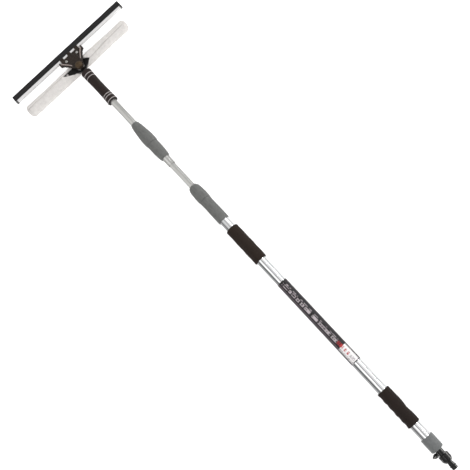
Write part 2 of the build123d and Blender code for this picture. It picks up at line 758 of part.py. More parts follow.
def claw_bracket():
    """Fan-shaped bracket: three jaws over the channel, a wall behind it and a hub on the pivot."""
    channel_top = CHANNEL_HEIGHT / 2
    hook = HOOK_REACH
    body = slab(claw_outline(), BRACKET_BOTTOM, BRACKET_TOP - 1.2)
    body += post(PIVOT, 0, BRACKET_BOTTOM, BRACKET_TOP, BRACKET_HUB_RADIUS)
    palm = both_sides(
        [
            (PIVOT, BRACKET_HUB_RADIUS - 1.0),
            (PIVOT + 0.26 * BRACKET_REACH, 0.40 * hook),
            (PIVOT + 0.55 * BRACKET_REACH, 0.36 * hook),
            (FAN_FRONT - 7.0, 0.30 * hook),
        ]
    )
    body += slab(palm, BRACKET_BOTTOM, BRACKET_TOP)
    wall_half = JAW_SPACING + JAW_WIDTH / 2
    wall_low = (FAN_FRONT - 2.5, -wall_half, -channel_top)
    body += block(wall_low, (CHANNEL_REAR, wall_half, BRACKET_BOTTOM + 1.5))
    for x, y in jaw_screw_places():
        body += post(x, y, -channel_top, BRACKET_BOTTOM + 1, JAW_SCREW_HEAD_RADIUS + 1.2)
    for y in jaw_places():
        low = (FAN_FRONT - 7.0, y - JAW_WIDTH / 2, channel_top)
        jaw = block(low, (CHANNEL_REAR + JAW_OVERHANG, y + JAW_WIDTH / 2, BRACKET_TOP))
        body += fillet(jaw.edges().filter_by(Axis.Z), JAW_WIDTH * 0.3)
    for side in (-1, 1):
        ridge = [
            (PIVOT + 0.24 * BRACKET_REACH, side * 0.38 * hook),
            (PIVOT + 0.30 * BRACKET_REACH, side * 0.36 * hook),
            (PIVOT + 0.56 * BRACKET_REACH, side * 0.54 * hook),
            (PIVOT + 0.90 * BRACKET_REACH, side * 0.84 * hook),
            (PIVOT + 0.84 * BRACKET_REACH, side * 0.89 * hook),
            (PIVOT + 0.52 * BRACKET_REACH, side * 0.60 * hook),
        ]
        body += slab(ridge, BRACKET_TOP - 1.2, BRACKET_TOP + RIDGE_HEIGHT)
    seat = BRACKET_TOP - 1.2 - JAW_SCREW_HEAD_THICK / 2
    for x, y in jaw_screw_places():
        body -= post(x, y, -channel_top - 1, BRACKET_TOP, JAW_SCREW_RADIUS)
        body -= post(x, y, seat, BRACKET_TOP + 1, JAW_SCREW_HEAD_RADIUS)
    return body - post(PIVOT, 0, BRACKET_BOTTOM - 1, BRACKET_TOP + 1, PIVOT_BOLT_RADIUS)


def rear_jaw():
    """Plate under the channel, pulled up by the two jaw screws."""
    top = -CHANNEL_HEIGHT / 2
    half = JAW_SPACING + JAW_WIDTH / 2
    end = CHANNEL_REAR + JAW_OVERHANG
    body = block((end - REAR_JAW_DEPTH, -half, top - REAR_JAW_THICK), (end, half, top))
    body = fillet(body.edges().filter_by(Axis.Z), 3.0)
    for x, y in jaw_screw_places():
        body -= post(x, y, top - REAR_JAW_THICK + 1, top + 1, JAW_SCREW_RADIUS)
    return body


def jaw_screws():
    """Cross-head screws, sunk half their head into the bracket and driven into the rear jaw."""
    seat = BRACKET_TOP - 1.2 - JAW_SCREW_HEAD_THICK / 2
    head_top = seat + JAW_SCREW_HEAD_THICK
    shank_end = -CHANNEL_HEIGHT / 2 - REAR_JAW_THICK + 1
    screws = []
    for x, y in jaw_screw_places():
        head = post(x, y, seat, head_top, JAW_SCREW_HEAD_RADIUS)
        head = fillet(head.edges().group_by(Axis.Z)[-1], 0.7)
        head -= block((x - 2, y - 0.5, head_top - 1.1), (x + 2, y + 0.5, head_top + 1))
        head -= block((x - 0.5, y - 2, head_top - 1.1), (x + 0.5, y + 2, head_top + 1))
        screws.append(head + post(x, y, shank_end, seat, JAW_SCREW_RADIUS))
    return group(*screws)


def along_blade(profile, length):
    """Extrudes an (x, z) outline along the blade, centred on the pole."""
    face = make_face(Polyline(*[(x, -length / 2, z) for x, z in profile], close=True))
    return extrude(face, length, dir=(0, 1, 0))


def bead_centre():
    return CHANNEL_REAR + CAP_WALL + BEAD_RADIUS


def bead(radius, length):
    return Pos(bead_centre(), 0, 0) * Rot(90, 0, 0) * Cylinder(radius, length)


def squeegee_channel():
    """Drawn metal channel, open at the front, with a round pocket for the rubber's bead."""
    half = CHANNEL_HEIGHT / 2
    bevel = 0.8
    body = along_blade(
        [
            (CHANNEL_REAR, -half + bevel),
            (CHANNEL_REAR + bevel, -half),
            (CHANNEL_FRONT - bevel, -half),
            (CHANNEL_FRONT, -half + bevel),
            (CHANNEL_FRONT, half - bevel),
            (CHANNEL_FRONT - bevel, half),
            (CHANNEL_REAR + bevel, half),
            (CHANNEL_REAR, half - bevel),
        ],
        CHANNEL_LENGTH,
    )
    slot = block(
        (bead_centre(), -CHANNEL_LENGTH, -BLADE_THICK / 2 - FIT),
        (CHANNEL_FRONT + 1, CHANNEL_LENGTH, BLADE_THICK / 2 + FIT),
    )
    return body - bead(BEAD_RADIUS + FIT, CHANNEL_LENGTH + 2) - slot


def squeegee_rubber():
    """Moulded rubber with a bead along its rear edge and lightly broken front corners."""
    half = BLADE_THICK / 2
    body = along_blade(
        [
            (bead_centre(), -half),
            (BLADE_EDGE - 0.8, -half),
            (BLADE_EDGE, -half + 0.3),
            (BLADE_EDGE, half - 0.3),
            (BLADE_EDGE - 0.8, half),
            (bead_centre(), half),
        ],
        BLADE_LENGTH,
    )
    return body + bead(BEAD_RADIUS, BLADE_LENGTH)


def channel_end_caps():
    """Thin moulded caps over the ends of the channel."""
    half = CHANNEL_HEIGHT / 2
    inside = CHANNEL_LENGTH / 2 - CAP_GRIP
    outside = CHANNEL_LENGTH / 2 + CAP_DEPTH
    pocket = block((CHANNEL_REAR, -CHANNEL_LENGTH / 2, -half), (CHANNEL_FRONT + 1, CHANNEL_LENGTH / 2, half))
    rubber = squeegee_rubber()
    caps = []
    for side in (-1, 1):
        low, high = sorted((side * inside, side * outside))
        rear = (CHANNEL_REAR - CAP_WALL, low, -half - CAP_WALL)
        cap = block(rear, (CHANNEL_FRONT, high, half + CAP_WALL))
        cap = fillet(cap.edges().filter_by(Axis.Y), CAP_WALL)
        caps.append(cap - rubber - pocket)
    return group(*caps)


# ---- head: washer bar and sleeve --------------------------------------------------------


def upright_bar(radius, length):
    """Round bar along the blade at the washer bar's height."""
    return Pos(BAR_X, 0, BAR_AXIS) * Rot(90, 0, 0) * Cylinder(radius, length)


def gusset_outline(extra):
    """Plan of the gusset from the hub out to the bar, grown by extra for its pocket."""
    return both_sides(
        [
            (PIVOT - HUB_RADIUS - 2.5 - extra, HUB_RADIUS + extra),
            (PIVOT - HUB_RADIUS + 1.5 - extra, HUB_RADIUS + 4.5 + extra),
            (BAR_X + 1.0 - extra, GUSSET_SPAN + extra),
            (BAR_X + 3.5 + extra, GUSSET_SPAN + extra),
            (BAR_X + 5.5 + extra, 0.42 * GUSSET_SPAN + extra),
            (BAR_X + 6.5 + extra, 0.25 * GUSSET_SPAN + extra),
        ]
    )


def slit_outline():
    """Mouth of the sleeve: drawn out to a point on the key side, shorter on the other."""
    return [
        (PIVOT - 12.0, 13.0),
        (PIVOT + 4.0, 0.63 * GUSSET_SPAN),
        (PIVOT + 9.5, 0.83 * GUSSET_SPAN),
        (BAR_X + 3.5, 0.99 * GUSSET_SPAN),
        (BAR_X + 6.5, 0.77 * GUSSET_SPAN),
        (BAR_X + 7.0, 0.46 * GUSSET_SPAN),
        (BAR_X + 7.0, -0.34 * GUSSET_SPAN),
        (PIVOT + 1.5, -0.57 * GUSSET_SPAN),
        (PIVOT - 10.0, -11.0),
    ]


def washer_bar():
    """Hollow T-bar with a gusset on top and a hub round the pivot bolt."""
    body = upright_bar(BAR_RADIUS, BAR_LENGTH)
    body += slab(gusset_outline(0), BAR_TOP - GUSSET_THICK, BAR_TOP)
    body += post(PIVOT, 0, HUB_BOTTOM, BAR_TOP, HUB_RADIUS)
    solid_half = 14.0
    hollow_length = BAR_LENGTH / 2 - solid_half
    for side in (-1, 1):
        middle = side * (solid_half + hollow_length / 2)
        body -= Pos(BAR_X, middle, BAR_AXIS) * Rot(90, 0, 0) * Cylinder(BAR_RADIUS - BAR_WALL, hollow_length)
    body -= Pos(PIVOT, 0, HUB_BOTTOM - BAR_RADIUS) * extrude(
        RegularPolygon(BOLT_HEAD_RADIUS, 6), BAR_RADIUS + BOLT_HEAD_THICK
    )
    return body - post(PIVOT, 0, HUB_BOTTOM, BAR_TOP + 1, PIVOT_BOLT_RADIUS)


def bar_end_plugs():
    plugs = []
    for side in (-1, 1):
        place = Pos(BAR_X, side * BAR_LENGTH / 2, BAR_AXIS) * Rot(-90 * side, 0, 0)
        disc = place * Cylinder(BAR_RADIUS, END_PLUG_THICK, align=(Align.CENTER, Align.CENTER, Align.MIN))
        disc = fillet(disc.edges().sort_by(Axis.Y)[-1 if side > 0 else 0], 2.0)
        stem = place * Cylinder(BAR_RADIUS - BAR_WALL, 10.0, align=(Align.CENTER, Align.CENTER, Align.MAX))
        plugs.append(disc + stem)
    return group(*plugs)


def washer_sleeve():
    """Fleece sleeve over the whole bar, open on top round the gusset and the neck."""
    body = Pos(0, SLEEVE_SHIFT, 0) * upright_bar(SLEEVE_RADIUS, SLEEVE_LENGTH)
    body = fillet(body.edges().filter_by(GeomType.CIRCLE), 9.0)
    wing_bottom = BAR_TOP - GUSSET_THICK - GAP
    body -= upright_bar(BAR_RADIUS + 0.2, BAR_LENGTH + 2 * END_PLUG_THICK + 2 * GAP)
    body -= slab(gusset_outline(0.8), wing_bottom, BAR_TOP + GAP)
    body -= slab(slit_outline(), wing_bottom, SLEEVE_RADIUS)
    for x, y in snap_places():
        body -= post(x, y, BAR_TOP - 1, BAR_TOP + SNAP_THICK + GAP, SNAP_RADIUS + GAP)
    body -= post(PIVOT, 0, HUB_BOTTOM - GAP, SLEEVE_RADIUS, HUB_RADIUS + 0.5)
    head_room = 2 * BAR_RADIUS
    body -= post(PIVOT, 0, BAR_AXIS - head_room, BAR_AXIS, BOLT_HEAD_RADIUS + GAP)
    rear = PIVOT - 2 * SLEEVE_RADIUS
    body -= slab([(rear, -19.0), (rear, 19.0), (PIVOT, 9.0), (PIVOT, -9.0)], HUB_BOTTOM - GAP, SLEEVE_RADIUS)
    front = PIVOT + 2.5 * SLEEVE_RADIUS
    half = 0.46 * HOOK_REACH
    body -= block((PIVOT, -half, BAR_TOP - GUSSET_THICK), (front, half, SLEEVE_RADIUS))
    return body - block((PIVOT - 14.0, -HOOK_REACH, BRACKET_BOTTOM - GAP), (front, HOOK_REACH, SLEEVE_RADIUS))


def snap_places():
    return [(BAR_X - 0.4, -GUSSET_SPAN + 13.0), (BAR_X - 0.4, GUSSET_SPAN - 13.0)]


def sleeve_snaps():
    """Press fasteners on the gusset that the sleeve's lips close on."""
    snaps = []
    for x, y in snap_places():
        stud = post(x, y, BAR_TOP, BAR_TOP + SNAP_THICK, SNAP_RADIUS)
        snaps.append(fillet(stud.edges().group_by(Axis.Z)[-1], 0.6))
    return group(*snaps)


# ---- build ------------------------------------------------------------------------------

PIECES = {
    "hose_spigot": hose_spigot,
    "spigot_oring": spigot_oring,
    "hose_gasket": hose_gasket,
    "coupling_nut": coupling_nut,
    "valve_body": valve_body,
    "valve_seats": valve_seats,
    "valve_ball": valve_ball,
    "valve_key": valve_key,
    "end_collar": end_collar,
    "collar_plug": collar_plug,
    "plug_seals": plug_seals,
    "outer_tube": outer_tube,
    "lower_foam_grip": lower_foam_grip,
    "upper_foam_grip": upper_foam_grip,
    "pole_label": pole_label,
    "lower_lock_body": lower_lock_body,
    "lower_lock_seal": lambda: lock_seal(OUTER_TUBE_END, INNER_TUBE_RADIUS),
    "lower_collet": lambda: collet(LOWER_BODY_END, INNER_TUBE_RADIUS),
    "lower_lock_nut": lower_lock_nut,
    "inner_tube": inner_tube,
    "piston_bush": piston_bush,
    "piston_seals": piston_seals,
    "ferrule": ferrule,
    "upper_lock_body": upper_lock_body,
    "upper_lock_seal": lambda: lock_seal(FERRULE_END, TOP_TUBE_RADIUS),
    "upper_collet": lambda: collet(UPPER_BODY_END, TOP_TUBE_RADIUS),
    "upper_lock_nut": upper_lock_nut,
    "top_tube": top_tube,
    "handle_grip": handle_grip,
    "grip_rings": grip_rings,
    "swivel_neck": swivel_neck,
    "water_jet": water_jet,
    "pivot_bolt": pivot_bolt,
    "pivot_washer": pivot_washer,
    "pivot_knob": pivot_knob,
    "claw_bracket": claw_bracket,
    "rear_jaw": rear_jaw,
    "jaw_screws": jaw_screws,
    "squeegee_channel": squeegee_channel,
    "squeegee_rubber": squeegee_rubber,
    "channel_end_caps": channel_end_caps,
    "washer_bar": washer_bar,
    "bar_end_plugs": bar_end_plugs,
    "washer_sleeve": washer_sleeve,
    "sleeve_snaps": sleeve_snaps,
}

os.makedirs("parts", exist_ok=True)
for name, make in PIECES.items():
    piece = make()
    export_step(piece, f"parts/{name}.step")
    print(name, round(piece.volume))
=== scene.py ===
"""Telescopic water-fed window squeegee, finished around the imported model.

The object is described from the table it lies on up to the blade. Sizes are in millimetres unless
a name says otherwise, and `MM` turns them to metres where a mesh is made.
"""

import json
import math
import random

import bmesh
import bpy
import numpy as np
from mathutils import Matrix, Vector, noise


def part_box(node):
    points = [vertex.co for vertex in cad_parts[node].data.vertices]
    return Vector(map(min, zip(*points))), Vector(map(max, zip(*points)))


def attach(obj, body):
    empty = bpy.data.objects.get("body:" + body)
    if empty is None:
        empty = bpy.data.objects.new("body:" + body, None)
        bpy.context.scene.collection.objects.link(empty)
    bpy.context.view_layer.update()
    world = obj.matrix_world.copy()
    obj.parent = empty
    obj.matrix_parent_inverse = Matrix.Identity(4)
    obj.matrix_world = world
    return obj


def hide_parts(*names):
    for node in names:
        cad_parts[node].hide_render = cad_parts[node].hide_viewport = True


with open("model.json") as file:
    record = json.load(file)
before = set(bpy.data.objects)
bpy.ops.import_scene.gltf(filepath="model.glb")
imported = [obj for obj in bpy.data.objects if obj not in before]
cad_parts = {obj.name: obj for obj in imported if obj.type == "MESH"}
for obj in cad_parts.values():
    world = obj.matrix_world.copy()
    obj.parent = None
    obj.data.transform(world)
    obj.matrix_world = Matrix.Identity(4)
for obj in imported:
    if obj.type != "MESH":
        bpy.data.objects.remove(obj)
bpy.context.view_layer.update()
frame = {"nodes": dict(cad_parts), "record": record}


# ---- Camera, table and light tent -----------------------------------------------------------
# The tool lies on a pale light table under a white tent. The camera looks down on it along the
# pole, from a little behind the middle, turned so that the pole runs across the picture.

MM = 0.001
EYE = Vector((0.2776, 0.0114, 1.4246))
AIM = Vector((0.6637, 0.0047, 0.0))
PICTURE_UP = Vector((0.70609, -0.68086, 0.19456))

camera = bpy.data.objects.new("camera", bpy.data.cameras.new("camera"))
bpy.context.scene.collection.objects.link(camera)
camera.data.lens = 50
camera.data.sensor_width = 36
camera.data.clip_end = 30
facing = (EYE - AIM).normalized()
across = PICTURE_UP.cross(facing).normalized()
turned_up = facing.cross(across)
camera.matrix_world = Matrix.Translation(EYE) @ Matrix((across, turned_up, facing)).transposed().to_4x4()
bpy.context.scene.camera = camera


class Wire:
    """A socket that can be written in sums: each operator adds a Math node."""

    def __init__(self, finish, socket):
        self.finish = finish
        self.socket = socket

    def math(self, operation, *values):
        names = ("Value", "Value_001", "Value_002")
        return self.finish.node(
            "ShaderNodeMath", {"operation": operation}, dict(zip(names, (self, *values)))
        )

    def __add__(self, other):
        return self.math("ADD", other)

    def __sub__(self, other):
        return self.math("SUBTRACT", other)

    def __rsub__(self, other):
        return (self * -1) + other

    def __mul__(self, other):
        return self.math("MULTIPLY", other)

    def __truediv__(self, other):
        return self.math("DIVIDE", other)

    def __gt__(self, other):
        return self.math("GREATER_THAN", other)

    def __lt__(self, other):
        return self.math("LESS_THAN", other)

    def __abs__(self):
        return self.math("ABSOLUTE")

    def between(self, low, high):
        return (self > low) * (self < high)


class Finish:
    """One material, made of nodes."""

    def __init__(self, name):
        self.material = bpy.data.materials.new(name)
        self.material.use_nodes = True
        self.tree = self.material.node_tree
        self.tree.nodes.clear()

    def node(self, kind, settings=None, sockets=None, output=0):
        made = self.tree.nodes.new(kind)
        for key, value in (settings or {}).items():
            if key == "stops":
                ramp = made.color_ramp.elements
                while len(ramp) < len(value):
                    ramp.new(0.5)
                for stop, (place, colour) in zip(ramp, value):
                    stop.position = place
                    stop.color = (*colour, 1)
            else:
                setattr(made, key, value)
        by_name = {s.identifier: s for s in made.inputs}
        by_name.update({s.name: s for s in made.inputs if s.name not in by_name and s.enabled})
        for key, value in (sockets or {}).items():
            if isinstance(value, Wire):
                self.tree.links.new(value.socket, by_name[key])
            elif isinstance(value, tuple) and len(value) == 3 and by_name[key].type == "RGBA":
                by_name[key].default_value = (*value, 1)
            else:
                by_name[key].default_value = value
        outputs = {s.identifier: s for s in made.outputs}
        if outputs:
            return Wire(self, outputs[output] if isinstance(output, str) else made.outputs[output])

    def place(self, stretch=(1, 1, 1)):
        """Where a point is on the object, in millimetres, stretched along each axis."""
        spot = self.node("ShaderNodeTexCoord", output="Object")
        scale = tuple(s / MM for s in stretch)
        return self.node(
            "ShaderNodeVectorMath", {"operation": "MULTIPLY"}, {"Vector": spot, "Vector_001": scale}
        )

    def along(self, axis):
        """One coordinate of the place, in millimetres."""
        return self.node("ShaderNodeSeparateXYZ", {}, {"Vector": self.place()}, axis)

    def noise(self, size, detail=2.0, stretch=(1, 1, 1), roughness=0.5):
        """Cloudy noise with lumps of about size millimetres, from 0 to 1."""
        return self.node(
            "ShaderNodeTexNoise",
            {},
            {"Vector": self.place(stretch), "Scale": 1 / size, "Detail": detail, "Roughness": roughness},
        )

    def blend(self, first, second, share):
        """Mixes two colours."""
        return self.node(
            "ShaderNodeMix",
            {"data_type": "RGBA"},
            {"Factor_Float": share, "A_Color": first, "B_Color": second},
            "Result_Color",
        )

    def bump(self, height, depth, strength=1.0):
        """Surface relief of depth millimetres."""
        return self.node(
            "ShaderNodeBump", {}, {"Height": height, "Distance": depth * MM, "Strength": strength}
        )

    def surface(self, **sockets):
        names = {key.replace("_", " "): value for key, value in sockets.items()}
        body = self.node("ShaderNodeBsdfPrincipled", {}, names)
        self.node("ShaderNodeOutputMaterial", {}, {"Surface": body})
        return self.material


def floor_finish():
    table = Finish("pale_table")
    cloudy = table.noise(180)
    tint = table.blend((0.93, 0.93, 0.93), (0.96, 0.96, 0.96), cloudy)
    return table.surface(
        Base_Color=tint, Roughness=0.9, Emission_Color=(1, 1, 1), Emission_Strength=0.55
    )


# Brightness of the tent from its -Y side over the top to its +Y side. The grey step in the middle
# is the slot for the camera, and the dark end is the open side. TENT_WALL goes from straight down to
# straight up, and darkens the walls where they are level with the tool.
TENT_SIDES = [
    (0.0, 0.8),
    (0.06, 1.0),
    (0.4, 1.0),
    (0.455, 0.42),
    (0.545, 0.42),
    (0.6, 1.0),
    (0.9, 1.0),
    (0.97, 0.3),
]
TENT_WALL = [(0.42, 0.75), (0.5, 0.34), (0.56, 0.6), (0.66, 1.0)]
TENT_STRENGTH = 1.0


def light_tent():
    world = bpy.data.worlds.new("tent")
    bpy.context.scene.world = world
    world.use_nodes = True
    tree = world.node_tree
    tree.nodes.clear()
    coordinates = tree.nodes.new("ShaderNodeTexCoord")
    parts = tree.nodes.new("ShaderNodeSeparateXYZ")
    tree.links.new(coordinates.outputs["Generated"], parts.inputs[0])

    def curve(axis, stops):
        """Grey by one coordinate of the direction, which goes from -1 to 1."""
        share = tree.nodes.new("ShaderNodeMath")
        share.operation = "MULTIPLY_ADD"
        share.inputs[1].default_value = 0.5
        share.inputs[2].default_value = 0.5
        tree.links.new(parts.outputs[axis], share.inputs[0])
        ramp = tree.nodes.new("ShaderNodeValToRGB")
        while len(ramp.color_ramp.elements) < len(stops):
            ramp.color_ramp.elements.new(0.5)
        for stop, (place, grey) in zip(ramp.color_ramp.elements, stops):
            stop.position = place
            stop.color = (grey, grey, grey, 1)
        tree.links.new(share.outputs[0], ramp.inputs[0])
        return ramp.outputs[0]

    shade = tree.nodes.new("ShaderNodeMix")
    shade.data_type = "RGBA"
    shade.blend_type = "MULTIPLY"
    shade.inputs["Factor"].default_value = 1
    tree.links.new(curve("Y", TENT_SIDES), shade.inputs[6])
    tree.links.new(curve("Z", TENT_WALL), shade.inputs[7])
    back = tree.nodes.new("ShaderNodeBackground")
    back.inputs["Strength"].default_value = TENT_STRENGTH
    tree.links.new(shade.outputs[2], back.inputs["Color"])
    output = tree.nodes.new("ShaderNodeOutputWorld")
    tree.links.new(back.outputs[0], output.inputs[0])


def node_span(node):
    """Lowest and highest corner of a CAD piece, in millimetres."""
    low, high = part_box(node)
    return low / MM, high / MM


COLLAR_TOUCH = 8


def rest_plane(x):
    """Height in millimetres of the table under the tool, which rests on its collar and sleeve."""
    collar_low = node_span("end_collar")[0]
    sleeve_low, sleeve_high = node_span("washer_sleeve")
    near = (collar_low.x + COLLAR_TOUCH, collar_low.z)
    far = ((sleeve_low.x + sleeve_high.x) / 2, sleeve_low.z)
    slope = (far[1] - near[1]) / (far[0] - near[0])
    return near[1] + (x - near[0]) * slope


def soft_light(name, place, size, watts, target=(0.65, 0, 0)):
    """An area lamp turned to its target, with place, size and target in metres."""
    lamp = bpy.data.objects.new(name, bpy.data.lights.new(name, "AREA"))
    lamp.data.shape = "RECTANGLE"
    lamp.data.size, lamp.data.size_y = size
    lamp.data.energy = watts
    lamp.location = place
    direction = Vector(target) - Vector(place)
    lamp.rotation_euler = direction.to_track_quat("-Z", "Y").to_euler()
    bpy.context.scene.collection.objects.link(lamp)


light_tent()
TABLE_MIDDLE = 600
TABLE_REACH = 5000
floor_mesh = bpy.data.meshes.new("table_top")
turns = ((-1, -1), (1, -1), (1, 1), (-1, 1))
corners = [(TABLE_MIDDLE + i * TABLE_REACH, j * TABLE_REACH) for i, j in turns]
floor_mesh.from_pydata([(x * MM, y * MM, rest_plane(x) * MM) for x, y in corners], [], [(0, 1, 2, 3)])
floor = bpy.data.objects.new("table_top", floor_mesh)
bpy.context.scene.collection.objects.link(floor)
floor.data.materials.append(floor_finish())
soft_light("window_side", (0.6, -1.5, 0.95), (2.6, 0.10), 15)
soft_light("door_side", (0.4, 1.2, 2.0), (2.4, 0.5), 8)
bpy.context.scene.view_settings.view_transform = "Standard"


# ---- Drawn aluminium tubes ------------------------------------------------------------------
# The outer tube is drawn and polished, the inner and top tubes are satin, and their cut ends are
# broken. Each slides in the one below.


def add_piece(name, vertices, faces, material):
    """Makes a mesh piece from corners in millimetres."""
    mesh = bpy.data.meshes.new(name)
    mesh.from_pydata([tuple(c * MM for c in v) for v in vertices], [], faces)
    mesh.validate()
    mesh.shade_smooth()
    piece = bpy.data.objects.new(name, mesh)
    bpy.context.scene.collection.objects.link(piece)
    piece.data.materials.append(material)
    return piece


def outward(piece):
    """Turns every face of a closed piece outwards and keeps sharp turns sharp."""
    shape = bmesh.new()
    shape.from_mesh(piece.data)
    bmesh.ops.recalc_face_normals(shape, faces=shape.faces)
    for edge in shape.edges:
        edge.smooth = len(edge.link_faces) == 2 and edge.calc_face_angle() < math.radians(38)
    shape.to_mesh(piece.data)
    shape.free()
    return piece


def stand_in(piece, node):
    """Puts a piece in the place of a CAD node, on the same body."""
    bodies = frame["record"]["behaviour"]["bodies"]
    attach(piece, next(body for body, nodes in bodies.items() if node in nodes))
    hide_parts(node)
    return piece


def eased(corners, ease, steps=3):
    """A closed outline with its corners rounded by about ease."""
    points = []
    count = len(corners)
    for i, corner in enumerate(corners):
        here = Vector(corner)
        arms = []
        for other in (corners[i - 1], corners[(i + 1) % count]):
            arm = Vector(other) - here
            arms.append(here + arm.normalized() * min(ease, arm.length * 0.45))
        for step in range(steps + 1):
            t = step / steps
            points.append(arms[0] * (1 - t) ** 2 + here * (2 * t * (1 - t)) + arms[1] * t * t)
    return points


def spun(name, outline, material, segments=96, relief=None):
    """A closed (x, radius) outline turned about the pole axis. relief(x, radius, angle) returns
    a new radius, and the angle is 0 on top and grows towards +Y."""
    vertices = []
    for x, radius in outline:
        for step in range(segments):
            angle = 2 * math.pi * step / segments
            reach = relief(x, radius, angle) if relief else radius
            vertices.append((x, reach * math.sin(angle), reach * math.cos(angle)))
    faces = []
    rows = len(outline)
    for row in range(rows):
        here, after = row * segments, (row + 1) % rows * segments
        for step in range(segments):
            beside = (step + 1) % segments
            faces.append((here + step, here + beside, after + beside, after + step))
    return outward(add_piece(name, vertices, faces, material))


def polished(name, dark, light, roughness, sides=None, reach=12.25):
    """Drawn metal: faint draw lines along the tube and a few dull patches. sides is painted shade:
    how bright the colour is painted from its -Y side to its +Y side. reach is the tube's radius."""
    tube = Finish(name)
    lines = tube.noise(0.5, 3, stretch=(0.004, 1, 1))
    haze = tube.noise(28, 2)
    marks = tube.noise(2.2, 3, stretch=(0.25, 1, 1))
    tint = tube.blend(dark, light, lines * 0.5 + haze * 0.5)
    # Painted shade: the colour is darkened across the tube, from its -Y side to its +Y side, by the
    # sides table.
    if sides:
        across = tube.along("Y") / (2 * reach) + 0.5
        stops = [(place, (grey, grey, grey * 0.98)) for place, grey in sides]
        painted_side_shade = tube.node("ShaderNodeValToRGB", {"stops": stops}, {"Fac": across})
        tint = tube.blend((0.0, 0.0, 0.0), tint, painted_side_shade)
    return tube.surface(
        Base_Color=tint,
        Metallic=1.0,
        Roughness=(haze - 0.5) * 0.12 + roughness + (lines - 0.5) * 0.08 + (marks - 0.5) * 0.08,
        Normal=tube.bump(lines, 0.012, 0.3),
    )


# Painted shade across the bright and satin tubes: (place from -Y to +Y, brightness painted into the
# colour).
BRIGHT_TUBE_PAINTED_SHADE = [
    (0.0, 0.56),
    (0.1, 0.58),
    (0.2, 0.78),
    (0.28, 0.9),
    (0.42, 0.82),
    (0.62, 0.74),
    (0.72, 0.58),
    (0.83, 0.31),
    (0.93, 0.27),
    (1.0, 0.42),
]
SATIN_TUBE_PAINTED_SHADE = [
    (0.0, 0.5),
    (0.15, 0.52),
    (0.35, 0.66),
    (0.5, 0.95),
    (0.62, 1.0),
    (0.8, 0.95),
    (0.9, 0.65),
    (1.0, 0.5),
]
bright_tube = polished("bright_tube", (0.84, 0.85, 0.86), (0.93, 0.93, 0.94), 0.14, BRIGHT_TUBE_PAINTED_SHADE)
satin_tube = polished("satin_tube", (0.54, 0.54, 0.52), (0.66, 0.65, 0.63), 0.38, SATIN_TUBE_PAINTED_SHADE, 8.5)
END_BREAK = 0.3

for name, node, wall, metal in (
    ("polished_outer_tube", "outer_tube", 1.2, bright_tube),
    ("satin_inner_tube", "inner_tube", 1.0, satin_tube),
    ("satin_top_tube", "top_tube", 1.0, satin_tube),
):
    low, high = node_span(node)
    edge = [(low.x, high.z - wall), (low.x, high.z), (high.x, high.z), (high.x, high.z - wall)]
    stand_in(spun(name, eased(edge, END_BREAK), metal, 128), node)


# ---- Crimped ferrule ------------------------------------------------------------------------
# A turned sleeve in the same satin metal. Its lower end is crimped on the inner tube with two
# rolled grooves, and the top tube slides in its upper end.

low, high = node_span("ferrule")
tube_end = node_span("inner_tube")[1].x
outer = high.z
INNER_SEAT = 8.0
TOP_BORE = 8.55
CRIMP_DEPTH = 0.55
crimp = [(low.x, INNER_SEAT), (low.x, outer - 0.4), (low.x + 1.2, outer)]
for groove in (4.5, 9.5):
    crimp.append((low.x + groove - 1.2, outer))
    crimp.append((low.x + groove, outer - CRIMP_DEPTH))
    crimp.append((low.x + groove + 1.2, outer))
crimp += [(high.x - 0.8, outer), (high.x, outer - 0.5)]
crimp += [(high.x, TOP_BORE), (tube_end, TOP_BORE), (tube_end, INNER_SEAT)]
stand_in(spun("crimped_ferrule", eased(crimp, 0.35), satin_tube, 128), "ferrule")


# ---- Base: spigot, coupling nut, ball valve -------------------------------------------------
# Injection-moulded glossy black plastic. The spigot takes a hose connector and is sealed by an
# O-ring, the nut has sixteen finger flutes, and the key turns the ball a quarter turn.


def moulding(name, dark, light, roughness, grain=0.02, specular=0.35, lump=14):
    """Moulded plastic: slow colour drift, handling marks in the gloss and a fine skin."""
    plastic = Finish(name)
    drift = plastic.noise(lump, 3)
    skin = plastic.noise(0.35, 2)
    rubs = plastic.noise(3.5, 4, stretch=(1, 0.35, 1))
    return plastic.surface(
        Base_Color=plastic.blend(dark, light, drift * 0.7 + skin * 0.3),
        Roughness=(rubs - 0.5) * 0.22 + roughness,
        Normal=plastic.bump(skin, grain, 0.5),
        Specular_IOR_Level=specular,
    )


def dress(material, *nodes):
    """Gives CAD pieces whose shape is right their finish."""
    for node in nodes:
        for place in frame["nodes"][node].material_slots:
            place.material = material


def black_with_painted_highlights():
    """Glossy black with painted highlights: two pale lines along it and one down the middle of the key's
    wing.
    """
    plastic = Finish("gloss_black_moulding")
    rubs = plastic.noise(2.4, 3)
    turn = plastic.along("Y").math("ARCTAN2", plastic.along("Z"))
    # Painted highlights: two pale lines at set turns round the pole axis, broken up by noise.
    highlight_lines = (abs(turn + 0.72) < 0.11) * (rubs > 0.4) + (abs(turn - 1.0) < 0.06) * (rubs > 0.52)
    # Painted highlight down the middle of the key's wing.
    wing = plastic.along("Y").between(13, 19) * (abs(plastic.along("X") - 40.4) < 1.1)
    pale = highlight_lines + wing * (rubs > 0.35)
    black = plastic.blend((0.003, 0.003, 0.003), (0.010, 0.010, 0.010), plastic.noise(7, 3))
    return plastic.surface(
        Base_Color=plastic.blend(black, (0.32, 0.32, 0.31), pale),
        Roughness=(rubs - 0.5) * 0.2 + 0.16,
        Normal=plastic.bump(rubs, 0.03, 0.4),
        Specular_IOR_Level=0.25,
    )


